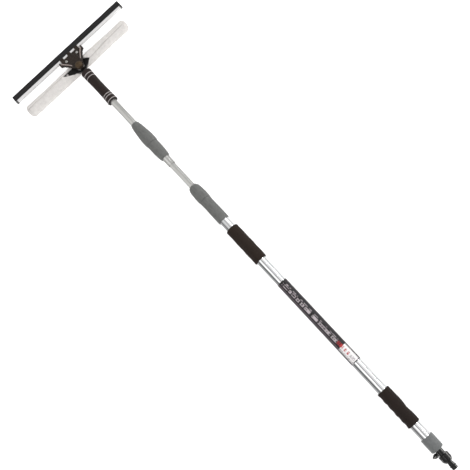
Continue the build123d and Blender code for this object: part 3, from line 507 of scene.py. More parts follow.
gloss_black = black_with_painted_highlights()
satin_black = moulding(
    "satin_black_moulding", (0.005, 0.005, 0.005), (0.013, 0.012, 0.011), 0.45, 0.05, 0.2
)
seal_black = moulding("seal_rubber", (0.012, 0.012, 0.012), (0.022, 0.022, 0.022), 0.6, 0.02, 0.2)
natural_white = moulding("natural_white_moulding", (0.62, 0.61, 0.57), (0.70, 0.69, 0.66), 0.4)
dress(satin_black, "collar_plug")
dress(gloss_black, "hose_spigot", "valve_body", "valve_ball")
dress(seal_black, "spigot_oring", "hose_gasket", "plug_seals", "piston_seals")
dress(seal_black, "lower_lock_seal", "upper_lock_seal")
dress(natural_white, "valve_seats", "lower_collet", "upper_collet", "piston_bush")

FLUTES = 16
FLUTE_DEPTH = 0.7
NUT_RADIUS = 11.4
NUT_MOUTH = 6.9
NUT_THREAD = 9.6
low, high = node_span("coupling_nut")
thread_start = low.x + 5.7
flutes_start = low.x + 5
nut_outline = [
    (low.x, NUT_MOUTH),
    (low.x, 8.2),
    (low.x + 4.5, NUT_RADIUS - 0.4),
    (low.x + 5.5, NUT_RADIUS),
    (low.x + 8.0, NUT_RADIUS),
    (high.x - 3.0, NUT_RADIUS),
    (high.x - 1.0, NUT_RADIUS),
    (high.x, NUT_RADIUS - 0.8),
    (high.x, NUT_THREAD),
    (thread_start, NUT_THREAD),
    (thread_start, NUT_MOUTH),
]


def fluted(x, radius, angle):
    if radius < NUT_RADIUS - 0.3 or x < flutes_start:
        return radius
    return radius - FLUTE_DEPTH * max(0, math.cos(FLUTES * angle)) ** 3


nut = spun("fluted_coupling_nut", eased(nut_outline, 0.5), gloss_black, FLUTES * 12, fluted)
stand_in(nut, "coupling_nut")


def moulded(name, node, voxel, material, passes=6, keep=0.5):
    """A CAD piece with the soft edges and draft of a moulding: its shape rebuilt in small voxels
    and smoothed, then thinned to keep of its faces."""
    source = frame["nodes"][node]
    shape = bmesh.new()
    shape.from_mesh(source.data)
    bmesh.ops.remove_doubles(shape, verts=shape.verts, dist=0.001 * MM)
    mesh = bpy.data.meshes.new(name)
    shape.to_mesh(mesh)
    shape.free()
    piece = bpy.data.objects.new(name, mesh)
    bpy.context.scene.collection.objects.link(piece)
    cells = piece.modifiers.new("cells", "REMESH")
    cells.mode = "VOXEL"
    cells.voxel_size = voxel * MM
    soften = piece.modifiers.new("soften", "SMOOTH")
    soften.factor = 0.5
    soften.iterations = passes
    thin = piece.modifiers.new("thin", "DECIMATE")
    thin.ratio = keep
    bpy.context.view_layer.update()
    ready = piece.evaluated_get(bpy.context.evaluated_depsgraph_get())
    final = bpy.data.meshes.new_from_object(ready)
    piece.modifiers.clear()
    piece.data = final
    final.materials.clear()
    final.materials.append(material)
    final.shade_smooth()
    return stand_in(piece, node)


moulded("valve_key_lever", "valve_key", 0.22, gloss_black, 4)


# ---- End collar -----------------------------------------------------------------------------
# A grey moulded cap glued over the tube's lower end, with two shallow rings round its skirt. It
# is a little bluer and lighter than the locks.

collar_grey = moulding(
    "collar_grey_moulding", (0.095, 0.100, 0.100), (0.175, 0.182, 0.182), 0.45, 0.06, 0.3, 4
)
low, high = node_span("end_collar")
collar_radius = high.z
tube_radius = node_span("outer_tube")[1].z
COLLAR_FLOOR = 4.0
PLUG_SEAT = 7.7
collar_outline = [
    (low.x, PLUG_SEAT),
    (low.x, collar_radius - 1.6),
    (low.x + 1.0, collar_radius - 0.5),
    (low.x + 2.4, collar_radius),
    (low.x + 5.0, collar_radius),
    (low.x + 5.7, collar_radius - 0.4),
    (low.x + 6.4, collar_radius),
    (high.x - 6.4, collar_radius),
    (high.x - 5.7, collar_radius - 0.4),
    (high.x - 5.0, collar_radius),
    (high.x - 1.6, collar_radius),
    (high.x - 0.4, collar_radius - 0.5),
    (high.x, collar_radius - 1.3),
    (high.x, tube_radius),
    (low.x + COLLAR_FLOOR, tube_radius),
    (low.x + COLLAR_FLOOR, PLUG_SEAT),
]
collar = spun("moulded_end_collar", eased(collar_outline, 0.3), collar_grey, 128)
stand_in(collar, "end_collar")


# ---- Foam grips -----------------------------------------------------------------------------
# Brown-black closed-cell foam sleeves pushed on the tube. The lower one has finger waves along its
# sides, and the upper one sits a little off centre.


def foam_finish(name, dark, light):
    foam = Finish(name)
    cells = foam.node("ShaderNodeTexVoronoi", {}, {"Vector": foam.place(), "Scale": 1.6})
    scuffs = foam.noise(9, 4)
    tint = foam.blend(dark, light, cells * 0.6 + scuffs * 0.4)
    return foam.surface(
        Base_Color=tint,
        Roughness=(scuffs - 0.5) * 0.2 + 0.85,
        Normal=foam.bump(cells + scuffs, 0.12, 0.7),
        Specular_IOR_Level=0.15,
    )


def foam_sleeve(name, node, end_round, relief, material):
    low, high = node_span(node)
    skin = high.z
    bore = tube_radius + 0.02
    outline = [(low.x, bore)]
    quarter = 5
    for end, turn in ((low.x + end_round, -1), (high.x - end_round, 1)):
        for step in range(quarter + 1):
            t = math.pi / 2 * (step if turn < 0 else quarter - step) / quarter
            outline.append((end + turn * end_round * math.cos(t), skin - end_round * (1 - math.sin(t))))
        if turn < 0:
            rows = int((high.x - low.x) / 1.2)
            span = high.x - low.x - 2 * end_round
            outline += [(low.x + end_round + span * i / rows, skin) for i in range(1, rows)]
    outline.append((high.x, bore))

    def shaped(x, radius, angle):
        if radius < tube_radius + 0.5:
            return radius
        spot = Vector((x, radius * math.sin(angle), radius * math.cos(angle)))
        lumps = 0.28 * noise.noise(spot / 9) + 0.1 * noise.noise(spot / 2.1)
        return radius + relief(x - low.x, angle) + lumps

    piece = spun(name, outline, material, 144, shaped)
    stand_in(piece, node)


def finger_waves(x, angle):
    """Low waves on the +Y side, and a waist with a swelling after it on the other."""
    left = max(0.0, math.sin(angle)) ** 2
    right = max(0.0, -math.sin(angle)) ** 2
    ripple = 0.5 * math.sin(2 * math.pi * x / 17 + 0.8)
    waist = 1.3 * math.exp(-(((x - 34) / 11) ** 2)) - 0.5 * math.exp(-(((x - 52) / 8) ** 2))
    return left * ripple - right * waist - 0.3


def crept(x, angle):
    """Slightly off centre, to a side that turns along the sleeve."""
    return 0.25 * math.sin(2 * math.pi * x / 31 + angle) - 0.2


lower_foam = foam_finish("lower_foam", (0.010, 0.007, 0.006), (0.027, 0.019, 0.016))
upper_foam = foam_finish("upper_foam", (0.013, 0.009, 0.007), (0.032, 0.022, 0.017))
foam_sleeve("lower_foam_sleeve", "lower_foam_grip", 1.6, finger_waves, lower_foam)
foam_sleeve("upper_foam_sleeve", "upper_foam_grip", 2.0, crept, upper_foam)


# ---- Pole label -----------------------------------------------------------------------------
# Printed film wrapped round the tube: black ground with plain pale blocks along its middle, a red
# patch and a framed white panel at its lower end. The blocks stand for print and spell nothing.


LABEL_RADIUS = 12.4


def label_finish():
    """The print, by the distance x along the label and the arc round it from the top."""
    film = Finish("printed_film")
    x = film.along("X") - node_span("pole_label")[0].x
    arc = film.along("Y").math("ARCTAN2", film.along("Z")) * LABEL_RADIUS
    side = abs(arc)
    speck = film.noise(1.3, 2)
    ink = film.blend((0.006, 0.005, 0.006), (0.018, 0.015, 0.017), speck)
    pale, red, white = (0.46, 0.41, 0.43), (0.42, 0.035, 0.04), (0.80, 0.77, 0.77)

    def add(mask, colour):
        nonlocal ink
        ink = film.blend(ink, colour, mask)

    def blocks(width, seed, share):
        """Blocks of one width along the label, of which a random share is printed."""
        cell = (x / width).math("FLOOR") + seed
        picked = film.node("ShaderNodeTexWhiteNoise", {"noise_dimensions": "1D"}, {"W": cell})
        return picked < share

    across = (arc / 3.6).math("FLOOR")
    blocks_across = film.node("ShaderNodeTexWhiteNoise", {"noise_dimensions": "1D"}, {"W": across}) < 0.6
    words = x.between(56, 132) + x.between(138, 226)
    strokes = blocks(3.3, 3, 0.66) * (1 - blocks(1.9, 11, 0.4) * (abs(arc - 1.6) < 1.9))
    add(words * strokes * (abs(arc - 1.7) < 3.2), pale)
    add(words * blocks(1.5, 17, 0.3) * (abs(arc + 4.4) < 0.9), pale)
    add((x > 44) * (abs(arc - 9.6) < 0.55), (0.22, 0.17, 0.19))
    add(x.between(40, 55) * (abs(arc - 0.2) < 4.0) * blocks(1.9, 5, 0.62), red)
    add((x < 43) * (side < 11.5), white)
    add(x.between(4, 19) * (side < 3.2) * (film.noise(3.1, 1) > 0.46), (0.48, 0.46, 0.47))
    add(x.between(20, 43) * (side < 3.6) * blocks(4.3, 9, 0.72) * (film.noise(1.7, 0) > 0.42), red)
    add((x < 43) * (abs(arc - 7.4) < 0.5) * blocks(2.3, 6, 0.6), (0.05, 0.04, 0.04))
    add((abs(side - 10.2) < 0.6) * (x < 43), (0.02, 0.02, 0.02))
    add((x < 2.0) * blocks_across, (0.015, 0.015, 0.015))
    scratch = film.noise(0.8, 3, stretch=(0.03, 1, 1))
    return film.surface(
        Base_Color=ink,
        Roughness=(scratch - 0.5) * 0.2 + 0.34,
        Normal=film.bump(scratch, 0.01, 0.3),
        Specular_IOR_Level=0.25,
    )


dress(label_finish(), "pole_label")


# ---- Twist locks ----------------------------------------------------------------------------
# Two grey moulded clamps. Each body is glued on its tube, and its nut closes a split collet on
# the tube inside. Both are covered with fine lengthwise ribs, worn lighter in places.


def lock_finish():
    grey = Finish("lock_grey_moulding")
    wear = grey.noise(2.6, 4, stretch=(0.3, 1, 1))
    drift = grey.noise(16, 2)
    skin = grey.noise(0.5, 3)
    worn = grey.blend((0.060, 0.062, 0.059), (0.20, 0.202, 0.195), wear)
    return grey.surface(
        Base_Color=grey.blend(worn, (0.125, 0.127, 0.122), drift * 0.4),
        Roughness=(wear - 0.5) * 0.15 + 0.5,
        Normal=grey.bump(skin + wear, 0.1, 0.6),
        Specular_IOR_Level=0.28,
    )


lock_grey = lock_finish()
RIBS = 38
RIB_DEPTH = 0.22


def ribbed(first, last):
    """Relief of fine ribs along a lock, between two stations."""

    def shaped(x, radius, angle):
        if radius < 11.5 or not first < x < last:
            return radius
        grain = noise.noise(Vector((x / 6, angle * 9, 0)))
        return radius + RIB_DEPTH * math.cos(RIBS * angle) + 0.12 * grain

    return shaped


def lock_nut(name, node, silhouette, bore):
    """A tapering nut: silhouette is (distance, radius) from its lower end, and the bore goes the
    same way from the thread to the throat that the tube passes."""
    low, high = node_span(node)
    outline = [(low.x + reach, radius) for reach, radius in silhouette]
    outline.append((high.x, bore[-1][1]))
    outline += [(low.x + reach, radius) for reach, radius in reversed(bore)]
    fine = []
    for (x, radius), (next_x, next_radius) in zip(outline, outline[1:] + outline[:1]):
        steps = 6 if min(radius, next_radius) > 11.4 and abs(next_x - x) > 4 else 1
        for i in range(steps):
            fine.append((x + (next_x - x) * i / steps, radius + (next_radius - radius) * i / steps))
    piece = spun(name, fine, lock_grey, RIBS * 5, ribbed(low.x + 2, high.x - 6))
    stand_in(piece, node)


upper_nut_shape = [
    (0.0, 13.2),
    (0.0, 14.5),
    (0.3, 14.85),
    (3.0, 15.3),
    (8.0, 15.9),
    (14.0, 15.9),
    (24.0, 15.6),
    (32.0, 15.0),
    (40.0, 14.2),
    (48.0, 13.4),
    (56.0, 12.5),
    (63.5, 11.4),
    (67.5, 10.7),
    (69.2, 9.9),
    (69.7, 9.3),
]
lower_nut_shape = [
    (0.0, 13.2),
    (0.0, 14.6),
    (0.3, 14.9),
    (4.0, 15.2),
    (10.0, 15.35),
    (16.0, 15.35),
    (23.0, 15.0),
    (31.0, 14.6),
    (38.0, 13.6),
    (42.0, 12.3),
    (44.3, 10.9),
    (45.1, 9.6),
]
lower_nut_bore = [(0, 12.9), (26, 12.9), (26.5, 10.85), (40, 9.85), (40.4, 8.3)]
upper_nut_bore = [(0, 12.9), (26, 12.9), (26.5, 11.35), (40, 10.35), (40.4, 8.8)]
lock_nut("lower_twist_nut", "lower_lock_nut", lower_nut_shape, lower_nut_bore)
lock_nut("upper_twist_nut", "upper_lock_nut", upper_nut_shape, upper_nut_bore)

LOCK_THREAD = 12.6
THREAD_TURNS = 7
SEAL_GROOVE = 1.92


def lock_body(name, node, silhouette, shaft_radius, seat_radius, tube, seal):
    """A glued body: silhouette from its lower end, the thread under the nut, and inside the collet
    seat, the running bore, the seal groove and the seat of its tube."""
    low, high = node_span(node)
    outline = [(low.x + reach, radius) for reach, radius in silhouette]
    shoulder = outline[-1][0]
    outline.append((shoulder, LOCK_THREAD))
    pitch = (high.x - shoulder - 2) / THREAD_TURNS
    for turn in range(THREAD_TURNS):
        start = shoulder + 1 + turn * pitch
        outline += [
            (start, LOCK_THREAD - 0.7),
            (start + pitch * 0.35, LOCK_THREAD),
            (start + pitch * 0.65, LOCK_THREAD),
            (start + pitch * 0.98, LOCK_THREAD - 0.7),
        ]
    collet_radius = shaft_radius + 1.9
    running = shaft_radius + 0.3
    tube_end = node_span(tube)[1].x
    groove = node_span(seal)[1].z + 0.05
    outline += [
        (high.x, LOCK_THREAD - 0.8),
        (high.x, collet_radius),
        (shoulder, collet_radius),
        (shoulder, running),
        (tube_end + SEAL_GROOVE, running),
        (tube_end + SEAL_GROOVE, groove),
        (tube_end, groove),
        (tube_end, seat_radius),
        (low.x, seat_radius),
    ]
    piece = spun(name, outline, lock_grey, RIBS * 5, ribbed(low.x + 1.2, shoulder - 1.2))
    stand_in(piece, node)


lower_body_shape = [
    (0.0, 12.9),
    (0.3, 13.6),
    (1.2, 14.1),
    (4.0, 14.15),
    (16.0, 14.1),
    (33.0, 14.05),
    (46.0, 13.8),
    (54.0, 13.75),
    (60.0, 13.95),
    (65.6, 14.3),
    (67.1, 14.3),
    (67.4, 14.05),
]
upper_body_shape = [
    (0.0, 10.3),
    (0.4, 11.0),
    (2.5, 11.8),
    (6.0, 12.5),
    (12.6, 13.3),
    (20.0, 13.95),
    (28.0, 14.25),
    (42.0, 14.3),
    (48.5, 14.3),
    (49.7, 14.3),
    (50.0, 14.05),
]
FERRULE_SEAT = 9.6
inner_radius = node_span("inner_tube")[1].z
top_radius = node_span("top_tube")[1].z
lower_inside = (inner_radius, tube_radius, "outer_tube", "lower_lock_seal")
upper_inside = (top_radius, FERRULE_SEAT, "ferrule", "upper_lock_seal")
lock_body("lower_clamp_body", "lower_lock_body", lower_body_shape, *lower_inside)
lock_body("upper_clamp_body", "upper_lock_body", upper_body_shape, *upper_inside)


# ---- Handle grip, rings and neck ------------------------------------------------------------
# Waisted rubber grip with fine finger ribs between two smooth ends, five pale rings let into it,
# and the black neck whose flat eye the head turns on.


def grip_finish():
    rubber = Finish("grip_rubber")
    dust = rubber.noise(1.1, 3)
    worn = rubber.noise(7, 3)
    tint = rubber.blend((0.006, 0.005, 0.005), (0.050, 0.027, 0.021), dust * worn)
    return rubber.surface(
        Base_Color=tint,
        Roughness=(worn - 0.5) * 0.25 + 0.6,
        Normal=rubber.bump(dust, 0.12, 0.6),
        Specular_IOR_Level=0.2,
    )


GRIP_WAIST = 12.4
GRIP_FLARE = 1.4
GRIP_BORE = 10.2
RIB_PITCH = 4.2
RING_WIDTH = 1.8
RING_SEAT = 1.2
STATION = 0.55
grip_low, grip_high = (corner.x for corner in node_span("handle_grip"))
first_rib, last_rib = grip_low + 24.8, grip_high - 26.9
ring_places = [grip_low + 2.0, grip_low + 13.6, grip_low + 20.6, grip_high - 22.7, grip_high - 12.5]


def grip_radius(x):
    share = (x - (grip_low + grip_high) / 2) / ((grip_high - grip_low) / 2)
    return GRIP_WAIST + GRIP_FLARE * share * share


def grip_skin(x):
    """Radius with the rounded grooves between the ribs and the rounded ends."""
    radius = grip_radius(x)
    if first_rib - 1 < x < last_rib + 1:
        away = abs((x - first_rib + RIB_PITCH / 2) % RIB_PITCH - RIB_PITCH / 2)
        radius -= 0.7 * max(0.0, 1 - (away / 0.95) ** 2)
    for end in (grip_low, grip_high):
        if abs(x - end) < 1.0:
            radius -= 0.8 * (1 - abs(x - end)) ** 2
    return radius


stations = sorted(
    [grip_low + STATION * i for i in range(int((grip_high - grip_low) / STATION) + 1)]
    + [place + side * RING_WIDTH / 2 for place in ring_places for side in (-1, 1)]
)
outline = [(grip_low, GRIP_BORE)]
for x in stations:
    seat = [place for place in ring_places if abs(x - place) <= RING_WIDTH / 2 + 1e-6]
    if not seat:
        outline.append((x, grip_skin(x)))
    elif abs(abs(x - seat[0]) - RING_WIDTH / 2) < 1e-6:
        deep = (x, grip_radius(seat[0]) - RING_SEAT)
        top = (x, grip_skin(x))
        outline += [top, deep] if x < seat[0] else [deep, top]
outline += [(grip_high, grip_skin(grip_high)), (grip_high, GRIP_BORE)]


def handled(x, radius, angle):
    """The slight unevenness of worn rubber."""
    if radius < 11:
        return radius
    spot = Vector((x / 3, radius * math.sin(angle) / 3, radius * math.cos(angle) / 3))
    return radius + 0.07 * noise.noise(spot)


stand_in(spun("ribbed_grip", outline, grip_finish(), 144, handled), "handle_grip")

ring_plastic = moulding("pale_ring_moulding", (0.36, 0.33, 0.33), (0.46, 0.43, 0.42), 0.45)
bands = bmesh.new()
for place in ring_places:
    skin = grip_radius(place)
    half = RING_WIDTH / 2 - 0.02
    band = [
        (place - half, skin - 1.18),
        (place - half, skin + 0.1),
        (place - half + 0.35, skin + 0.3),
        (place + half - 0.35, skin + 0.3),
        (place + half, skin + 0.1),
        (place + half, skin - 1.18),
    ]
    one = spun("pale_ring", band, ring_plastic, 96)
    bands.from_mesh(one.data)
    bpy.data.objects.remove(one)
rings = bpy.data.meshes.new("pale_rings")
bands.to_mesh(rings)
bands.free()
rings.materials.append(ring_plastic)
ring_piece = bpy.data.objects.new("pale_rings", rings)
bpy.context.scene.collection.objects.link(ring_piece)
stand_in(ring_piece, "grip_rings")

neck_black = moulding(
    "neck_black_moulding", (0.005, 0.005, 0.005), (0.014, 0.012, 0.011), 0.3, 0.03, 0.25
)
moulded("swivel_neck_moulding", "swivel_neck", 0.4, neck_black, 4, 0.35)
dress(gloss_black, "water_jet")


# ---- Bracket, rear jaw and knob -------------------------------------------------------------
# Brown-black moulding with three jaws over the channel. Two screws close the rear jaw, and the
# dull bronze knob clamps the bracket on the neck's eye.


def plated_steel():
    steel = Finish("plated_steel")
    turned = steel.noise(0.6, 3)
    return steel.surface(
        Base_Color=steel.blend((0.50, 0.49, 0.47), (0.66, 0.65, 0.63), turned),
        Metallic=1.0,
        Roughness=(turned - 0.5) * 0.15 + 0.3,
    )


def knob_finish():
    bronze = Finish("dull_bronze")
    tarnish = bronze.noise(3.2, 4)
    grain = bronze.noise(0.4, 2)
    return bronze.surface(
        Base_Color=bronze.blend((0.010, 0.007, 0.004), (0.100, 0.062, 0.028), tarnish),
        Metallic=0.35,
        Roughness=(grain - 0.5) * 0.2 + 0.5,
        Normal=bronze.bump(grain, 0.05, 0.5),
        Specular_IOR_Level=0.3,
    )


def bracket_finish():
    """Brown-black plastic with a painted highlight along the tops of its raised ridges."""
    plastic = Finish("bracket_moulding")
    drift = plastic.noise(8, 3)
    rubs = plastic.noise(2.5, 4)
    height = plastic.along("Z")
    # Painted highlight: pale colour on everything above 8.3 mm, the tops of the ridges, broken up by
    # noise.
    ridge_highlight = (height - 8.3).math("MAXIMUM", 0.0).math("MINIMUM", 1.0) * (rubs * 0.8 + 0.4)
    dark = plastic.blend((0.010, 0.007, 0.005), (0.030, 0.020, 0.014), drift)
    return plastic.surface(
        Base_Color=plastic.blend(dark, (0.34, 0.28, 0.26), ridge_highlight),
        Roughness=(rubs - 0.5) * 0.2 + 0.26,
        Normal=plastic.bump(rubs, 0.05, 0.4),
        Specular_IOR_Level=0.35,
    )


bracket_black = bracket_finish()
moulded("claw_bracket_moulding", "claw_bracket", 0.42, bracket_black, 6, 0.5)
moulded("rear_jaw_moulding", "rear_jaw", 0.42, bracket_black, 4, 0.5)
moulded("bronze_knob", "pivot_knob", 0.3, knob_finish(), 5, 0.5)
dress(plated_steel(), "jaw_screws", "pivot_bolt", "pivot_washer")
dress(ring_plastic, "sleeve_snaps")


# ---- Channel, blade and end caps ------------------------------------------------------------
# The blade is a straight strip of charcoal rubber whose bead slides in a drawn aluminium channel.
# The channel has broken corners, and small black caps close its ends.


def swept(name, outline, span, rows, material, relief=None):
    """A closed (x, z) outline drawn along Y over span. relief(x, z, y) returns new x and z."""
    vertices = []
    for row in range(rows + 1):
        y = span[0] + (span[1] - span[0]) * row / rows
        for x, z in outline:
            new_x, new_z = relief(x, z, y) if relief else (x, z)
            vertices.append((new_x, y, new_z))
    count = len(outline)
    faces = [tuple(range(count)), tuple(rows * count + i for i in reversed(range(count)))]
    for row in range(rows):
        here, after = row * count, (row + 1) * count
        for i in range(count):
            j = (i + 1) % count
            faces.append((here + i, here + j, after + j, after + i))
    return outward(add_piece(name, vertices, faces, material))


def rubber_finish():
    rubber = Finish("charcoal_blade_rubber")
    bloom = rubber.noise(12, 3, stretch=(1, 0.15, 1))
    skin = rubber.noise(0.7, 2)
    return rubber.surface(
        Base_Color=rubber.blend((0.010, 0.010, 0.010), (0.021, 0.020, 0.021), bloom),
        Roughness=(bloom - 0.5) * 0.2 + 0.6,
        Normal=rubber.bump(skin, 0.02, 0.4),
        Specular_IOR_Level=0.18,
    )


CHANNEL_WALL = 0.9
BEAD_RADIUS = 2.0
BEAD_SEAT = 2.05
BLADE_HALF = 1.3
SLIT_HALF = BLADE_HALF + 0.05
low, high = node_span("squeegee_channel")
half = high.z
bead_x = low.x + CHANNEL_WALL + BEAD_RADIUS
mouth = math.asin(SLIT_HALF / BEAD_SEAT)
seat = [
    Vector((bead_x + BEAD_SEAT * math.cos(turn), BEAD_SEAT * math.sin(turn)))
    for turn in [-mouth - (2 * math.pi - 2 * mouth) * i / 20 for i in range(21)]
]
front = [
    Vector((high.x, SLIT_HALF)),
    Vector((high.x, half - 0.7)),
    Vector((high.x - 0.25, half - 0.2)),
    Vector((high.x - 0.8, half)),
]
block = [(high.x, half - 0.01), (low.x, half), (low.x, -half), (high.x, -half + 0.01)]
corner_steps = 3
back = eased(block, 0.7, corner_steps)[corner_steps + 1 : -corner_steps - 1]
channel_outline = front + back + [Vector((x, -z)) for x, z in reversed(front)] + seat


def channel_finish():
    metal = Finish("drawn_channel")
    lines = metal.noise(0.5, 3, stretch=(1, 0.004, 1))
    haze = metal.noise(20, 2)
    shine = metal.blend((0.74, 0.73, 0.73), (0.86, 0.85, 0.85), lines * 0.5 + haze * 0.5)
    return metal.surface(
        # Painted shade: the channel's colour is dark grey below 1.4 mm under its middle height.
        Base_Color=metal.blend(shine, (0.20, 0.19, 0.19), metal.along("Z") < -1.4),
        Metallic=0.5,
        Roughness=(lines - 0.5) * 0.1 + 0.45,
        Normal=metal.bump(lines, 0.012, 0.3),
    )


channel_metal = channel_finish()
channel = swept("drawn_blade_channel", channel_outline, (low.y, high.y), 2, channel_metal)
stand_in(channel, "squeegee_channel")

low, high = node_span("squeegee_rubber")
joint_angle = math.asin(BLADE_HALF / BEAD_RADIUS)
bead = [
    Vector((bead_x + BEAD_RADIUS * math.cos(turn), BEAD_RADIUS * math.sin(turn)))
    for turn in [joint_angle + (2 * math.pi - 2 * joint_angle) * i / 16 for i in range(17)]
]
lip = [
    Vector((high.x - 7.0, -BLADE_HALF)),
    Vector((high.x - 0.9, -BLADE_HALF)),
    Vector((high.x - 0.1, -BLADE_HALF + 0.3)),
    Vector((high.x, -BLADE_HALF + 0.45)),
    Vector((high.x, BLADE_HALF - 0.45)),
    Vector((high.x - 0.1, BLADE_HALF - 0.3)),
    Vector((high.x - 0.9, BLADE_HALF)),
    Vector((high.x - 7.0, BLADE_HALF)),
]


FREE_RUBBER = 15
blade_edge = high.x


def blade_wave(x, z, y):
    """The free edge wanders a little along the blade."""
    free = max(0.0, min(1.0, (x - (blade_edge - FREE_RUBBER)) / FREE_RUBBER))
    spot = Vector((y / 45, 0, 0))
    return x - 0.25 * free * abs(noise.noise(spot * 1.7)), z + 0.35 * free * noise.noise(spot)


blade = swept("blade_rubber_strip", bead + lip, (low.y, high.y), 120, rubber_finish(), blade_wave)
stand_in(blade, "squeegee_rubber")
cap_black = moulding("end_cap_moulding", (0.05, 0.05, 0.05), (0.08, 0.08, 0.08), 0.45)
moulded("channel_cap_pair", "channel_end_caps", 0.2, cap_black, 3, 0.5)


# ---- Washer bar and fleece sleeve -----------------------------------------------------------
# White fleece tube with rounded ends, pulled over the bar and closed on top round its gusset. The
# two lips meet in a crease along the top and part in a mouth round the hub. Short pile covers it.

dress(satin_black, "washer_bar", "bar_end_plugs")


def fleece_finish():
    fleece = Finish("white_fleece")
    tufts = fleece.noise(1.6, 4)
    clumps = fleece.noise(7, 3)
    fibres = fleece.node("ShaderNodeTexVoronoi", {}, {"Vector": fleece.place(), "Scale": 0.9})
    tint = fleece.blend((0.46, 0.435, 0.42), (0.84, 0.815, 0.79), tufts * 0.6 + clumps * 0.5)
    return fleece.surface(
        Base_Color=tint,
        Roughness=(tufts - 0.5) * 0.1 + 0.93,
        Normal=fleece.bump(tufts + fibres * 0.6, 0.5, 0.8),
        Specular_IOR_Level=0.1,
    )


random.seed(41)
SLEEVE_DEPTH = 33
SLIM_RADIUS = 14.7
FULL_RADIUS = 16.2
END_DOME = 12
CAVITY = 9.75
sleeve_low, sleeve_high = node_span("washer_sleeve")
axis_x = (sleeve_low.x + sleeve_high.x) / 2
axis_z = sleeve_low.z + SLEEVE_DEPTH / 2
cavity_end = node_span("washer_bar")[1].y + 6.0
headroom = 1.9 - axis_z

# The two sides of the mouth and the crease beyond it, as (y, distance in front of the axis).
MOUTH_START, MOUTH_END = -31.5, 52.0
MOUTH_FRONT = [(MOUTH_START, -8.0), (-17.7, 7.0), (23.9, 7.0), (40.0, 6.5), (MOUTH_END, 3.4)]
MOUTH_REAR = [
    (MOUTH_START, -8.0),
    (-20.0, -13.4),
    (-11.5, -14.4),
    (13.0, -14.4),
    (24.0, -13.4),
    (32.8, -9.5),
    (43.2, -3.5),
    (MOUTH_END, 3.4),
]
CREASE = [
    (-159.0, -2.0),
    (-90.0, -4.0),
    (MOUTH_START, -8.0),
    (MOUTH_END, 3.4),
    (100.0, 1.5),
    (175.0, 0.0),
]


def read_off(table, y):
    """Straight-line value of a table of (y, value) at y."""
    return float(np.interp(y, [row[0] for row in table], [row[1] for row in table]))


def sleeve_radius(y):
    """Outer radius: a little fuller on the +Y half, wavy, and domed at the ends."""
    share = max(0.0, min(1.0, (y + 25) / 50))
    radius = SLIM_RADIUS + 1.5 * share * share * (3 - 2 * share)
    radius += 0.8 * noise.noise(Vector((y / 24, 3.3, 0))) + 0.35 * noise.noise(Vector((y / 10, 9.1, 0)))
    reach = min(y - sleeve_low.y, sleeve_high.y - y)
    if reach < END_DOME:
        radius *= max(0.0, 1 - (1 - reach / END_DOME) ** 2.3) ** 0.5 * 0.94 + 0.06
    return radius


def lips(y):
    """Angles of the front and rear lip at y, from the top towards the front, in radians."""
    radius = max(6.0, sleeve_radius(y))
    if MOUTH_START < y < MOUTH_END:
        front = math.asin(max(-0.95, min(0.95, read_off(MOUTH_FRONT, y) / radius)))
        rear = math.asin(max(-0.99, min(0.95, read_off(MOUTH_REAR, y) / radius)))
        if abs(y) < 16:
            low_lip = math.radians(-108)
            near = min(1.0, max(0.0, (16 - abs(y)) / 4.5))
            rear = rear * (1 - near) + low_lip * near
    else:
        front = rear = math.asin(read_off(CREASE, y) / max(9.5, radius))
    gap = math.radians(0.35)
    if front - rear < 2 * gap:
        middle = (front + rear) / 2
        front, rear = middle + gap, middle - gap
    return front, rear


def hollow_radius(y, angle):
    """Inner radius: the bar, and above it room for the gusset and the press fasteners."""
    radius = CAVITY
    if abs(y) > cavity_end:
        return 0.25
    if abs(y) < 53:
        sideways, upwards = math.sin(angle), math.cos(angle)
        front = 7.2 if abs(y) < 14 else 6.4 if abs(y) < 30 else 5.3
        rear = 23 - 23 * (abs(y) - 10) / 43
        reach = front if sideways > 0 else max(1.0, rear)
        if upwards > 0.3:
            over = 9.8 / upwards
            beside = reach / abs(sideways) if abs(sideways) > 1e-3 else 99
            radius = max(radius, min(over, beside))
        if 35 < abs(y) < 43 and abs(sideways * 11 + 0.4) < 3.8:
            radius = max(radius, 11.4)
    return radius


AROUND = 72
HALF_LOOP = AROUND + 1
UNDERSIDE = 16.45


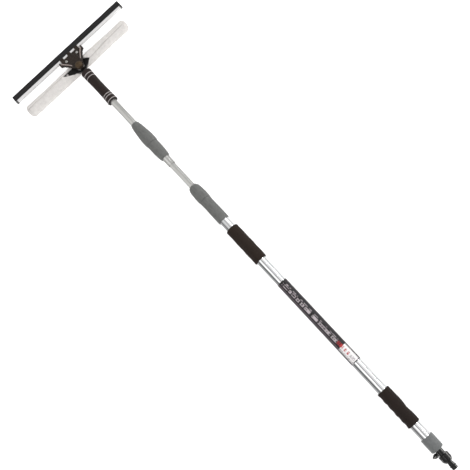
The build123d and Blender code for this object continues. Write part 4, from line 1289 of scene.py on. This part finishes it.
def loop_at(y):
    """Corners of the sleeve's wall at y: outside from lip to lip, then back along the inside."""
    outer_radius = sleeve_radius(y)
    front, rear = lips(y)
    angles = []
    total = 2 * math.pi + rear - front
    for step in range(HALF_LOOP):
        share = step / AROUND
        bunched = share - 0.09 * math.sin(2 * math.pi * share)
        angles.append(front + total * bunched)
    # The front edge stays straight where the radius varies, and the rear takes it up.
    if outer_radius > 13:
        centre = FULL_RADIUS - outer_radius
    else:
        centre = FULL_RADIUS - SLIM_RADIUS if y < 0 else 0.0
    outside, inside = [], []
    for angle in angles:
        away = min(angle - front, rear + 2 * math.pi - angle)
        inner = hollow_radius(y, angle)
        outer = outer_radius
        spot = Vector((y, outer * math.sin(angle), outer * math.cos(angle)))
        lumps = noise.noise(spot / 13) * 0.45 + noise.noise(spot / 4.2) * 0.3
        lumps += 0.7 * noise.noise(spot / 26) * max(0.0, math.cos(angle) + 0.4)
        outer += lumps * min(1, outer_radius / 12)
        if math.cos(angle) < -0.6:
            outer = min(outer, UNDERSIDE)
        outer += centre * max(0.0, math.sin(angle)) - centre * 0.4 * max(0.0, -math.sin(angle))
        if abs(y) < 41 and math.cos(angle) > 0:
            outer = min(outer, headroom / max(0.2, math.cos(angle)))
        inner = min(inner, max(0.2, outer - 0.9))
        middle = (outer + inner) / 2
        width = 1.6 / max(outer, 4)
        if away < width:
            rise = math.sqrt(max(0.0, 1 - (1 - away / width) ** 2))
            outer = middle + (outer - middle) * rise
            inner = middle - (middle - inner) * rise
        outside.append((axis_x + outer * math.sin(angle), y, axis_z + outer * math.cos(angle)))
        inside.append((axis_x + inner * math.sin(angle), y, axis_z + inner * math.cos(angle)))
    return outside + inside[::-1]


rows = []
y = sleeve_low.y + 0.15
while y < sleeve_high.y - 0.1:
    rows.append(y)
    reach = min(y - sleeve_low.y, sleeve_high.y - y)
    y += 0.5 if reach < 4 else 1.0 if reach < 14 or abs(y) < 58 else 1.8
rows.append(sleeve_high.y - 0.15)
shell_vertices, shell_faces = [], []
for y in rows:
    shell_vertices += loop_at(y)
loop_size = 2 * HALF_LOOP
for row in range(len(rows) - 1):
    here, after = row * loop_size, (row + 1) * loop_size
    for i in range(loop_size):
        j = (i + 1) % loop_size
        shell_faces.append((here + i, here + j, after + j, after + i))
for base in (0, (len(rows) - 1) * loop_size):
    for i in range(HALF_LOOP - 1):
        other = loop_size - 1 - i
        shell_faces.append((base + i, base + i + 1, base + other - 1, base + other))

PILE = 6500
STRAND_RADIUS = 0.24
for _ in range(PILE):
    row = random.randrange(2, len(rows) - 2)
    step = random.randrange(2, HALF_LOOP - 2)
    root = Vector(shell_vertices[row * loop_size + step])
    out = root - Vector((axis_x, root.y, axis_z))
    if out.length < 3 or out.z < -0.86 * out.length:
        continue
    out.normalize()
    lean = Vector((random.uniform(-1, 1), random.uniform(-1, 1), random.uniform(-0.6, 0.8)))
    tip = root + (out * 0.55 + lean * 0.8).normalized() * random.uniform(0.9, 1.9)
    if tip.z > 2.0 and abs(tip.y) < 42:
        continue
    side = out.cross(Vector((0, 1, 0.2))).normalized() * STRAND_RADIUS
    other = out.cross(side).normalized() * STRAND_RADIUS
    sunk = root - out * 0.35
    base = len(shell_vertices)
    strand = (sunk + side, sunk - side * 0.5 + other, sunk - side * 0.5 - other, tip)
    shell_vertices += [tuple(corner) for corner in strand]
    for face in ((0, 2, 1), (0, 1, 3), (1, 2, 3), (2, 0, 3)):
        shell_faces.append(tuple(base + corner for corner in face))
fleece = add_piece("fleece_washer_sleeve", shell_vertices, shell_faces, fleece_finish())
outward(fleece)
stand_in(fleece, "washer_sleeve")
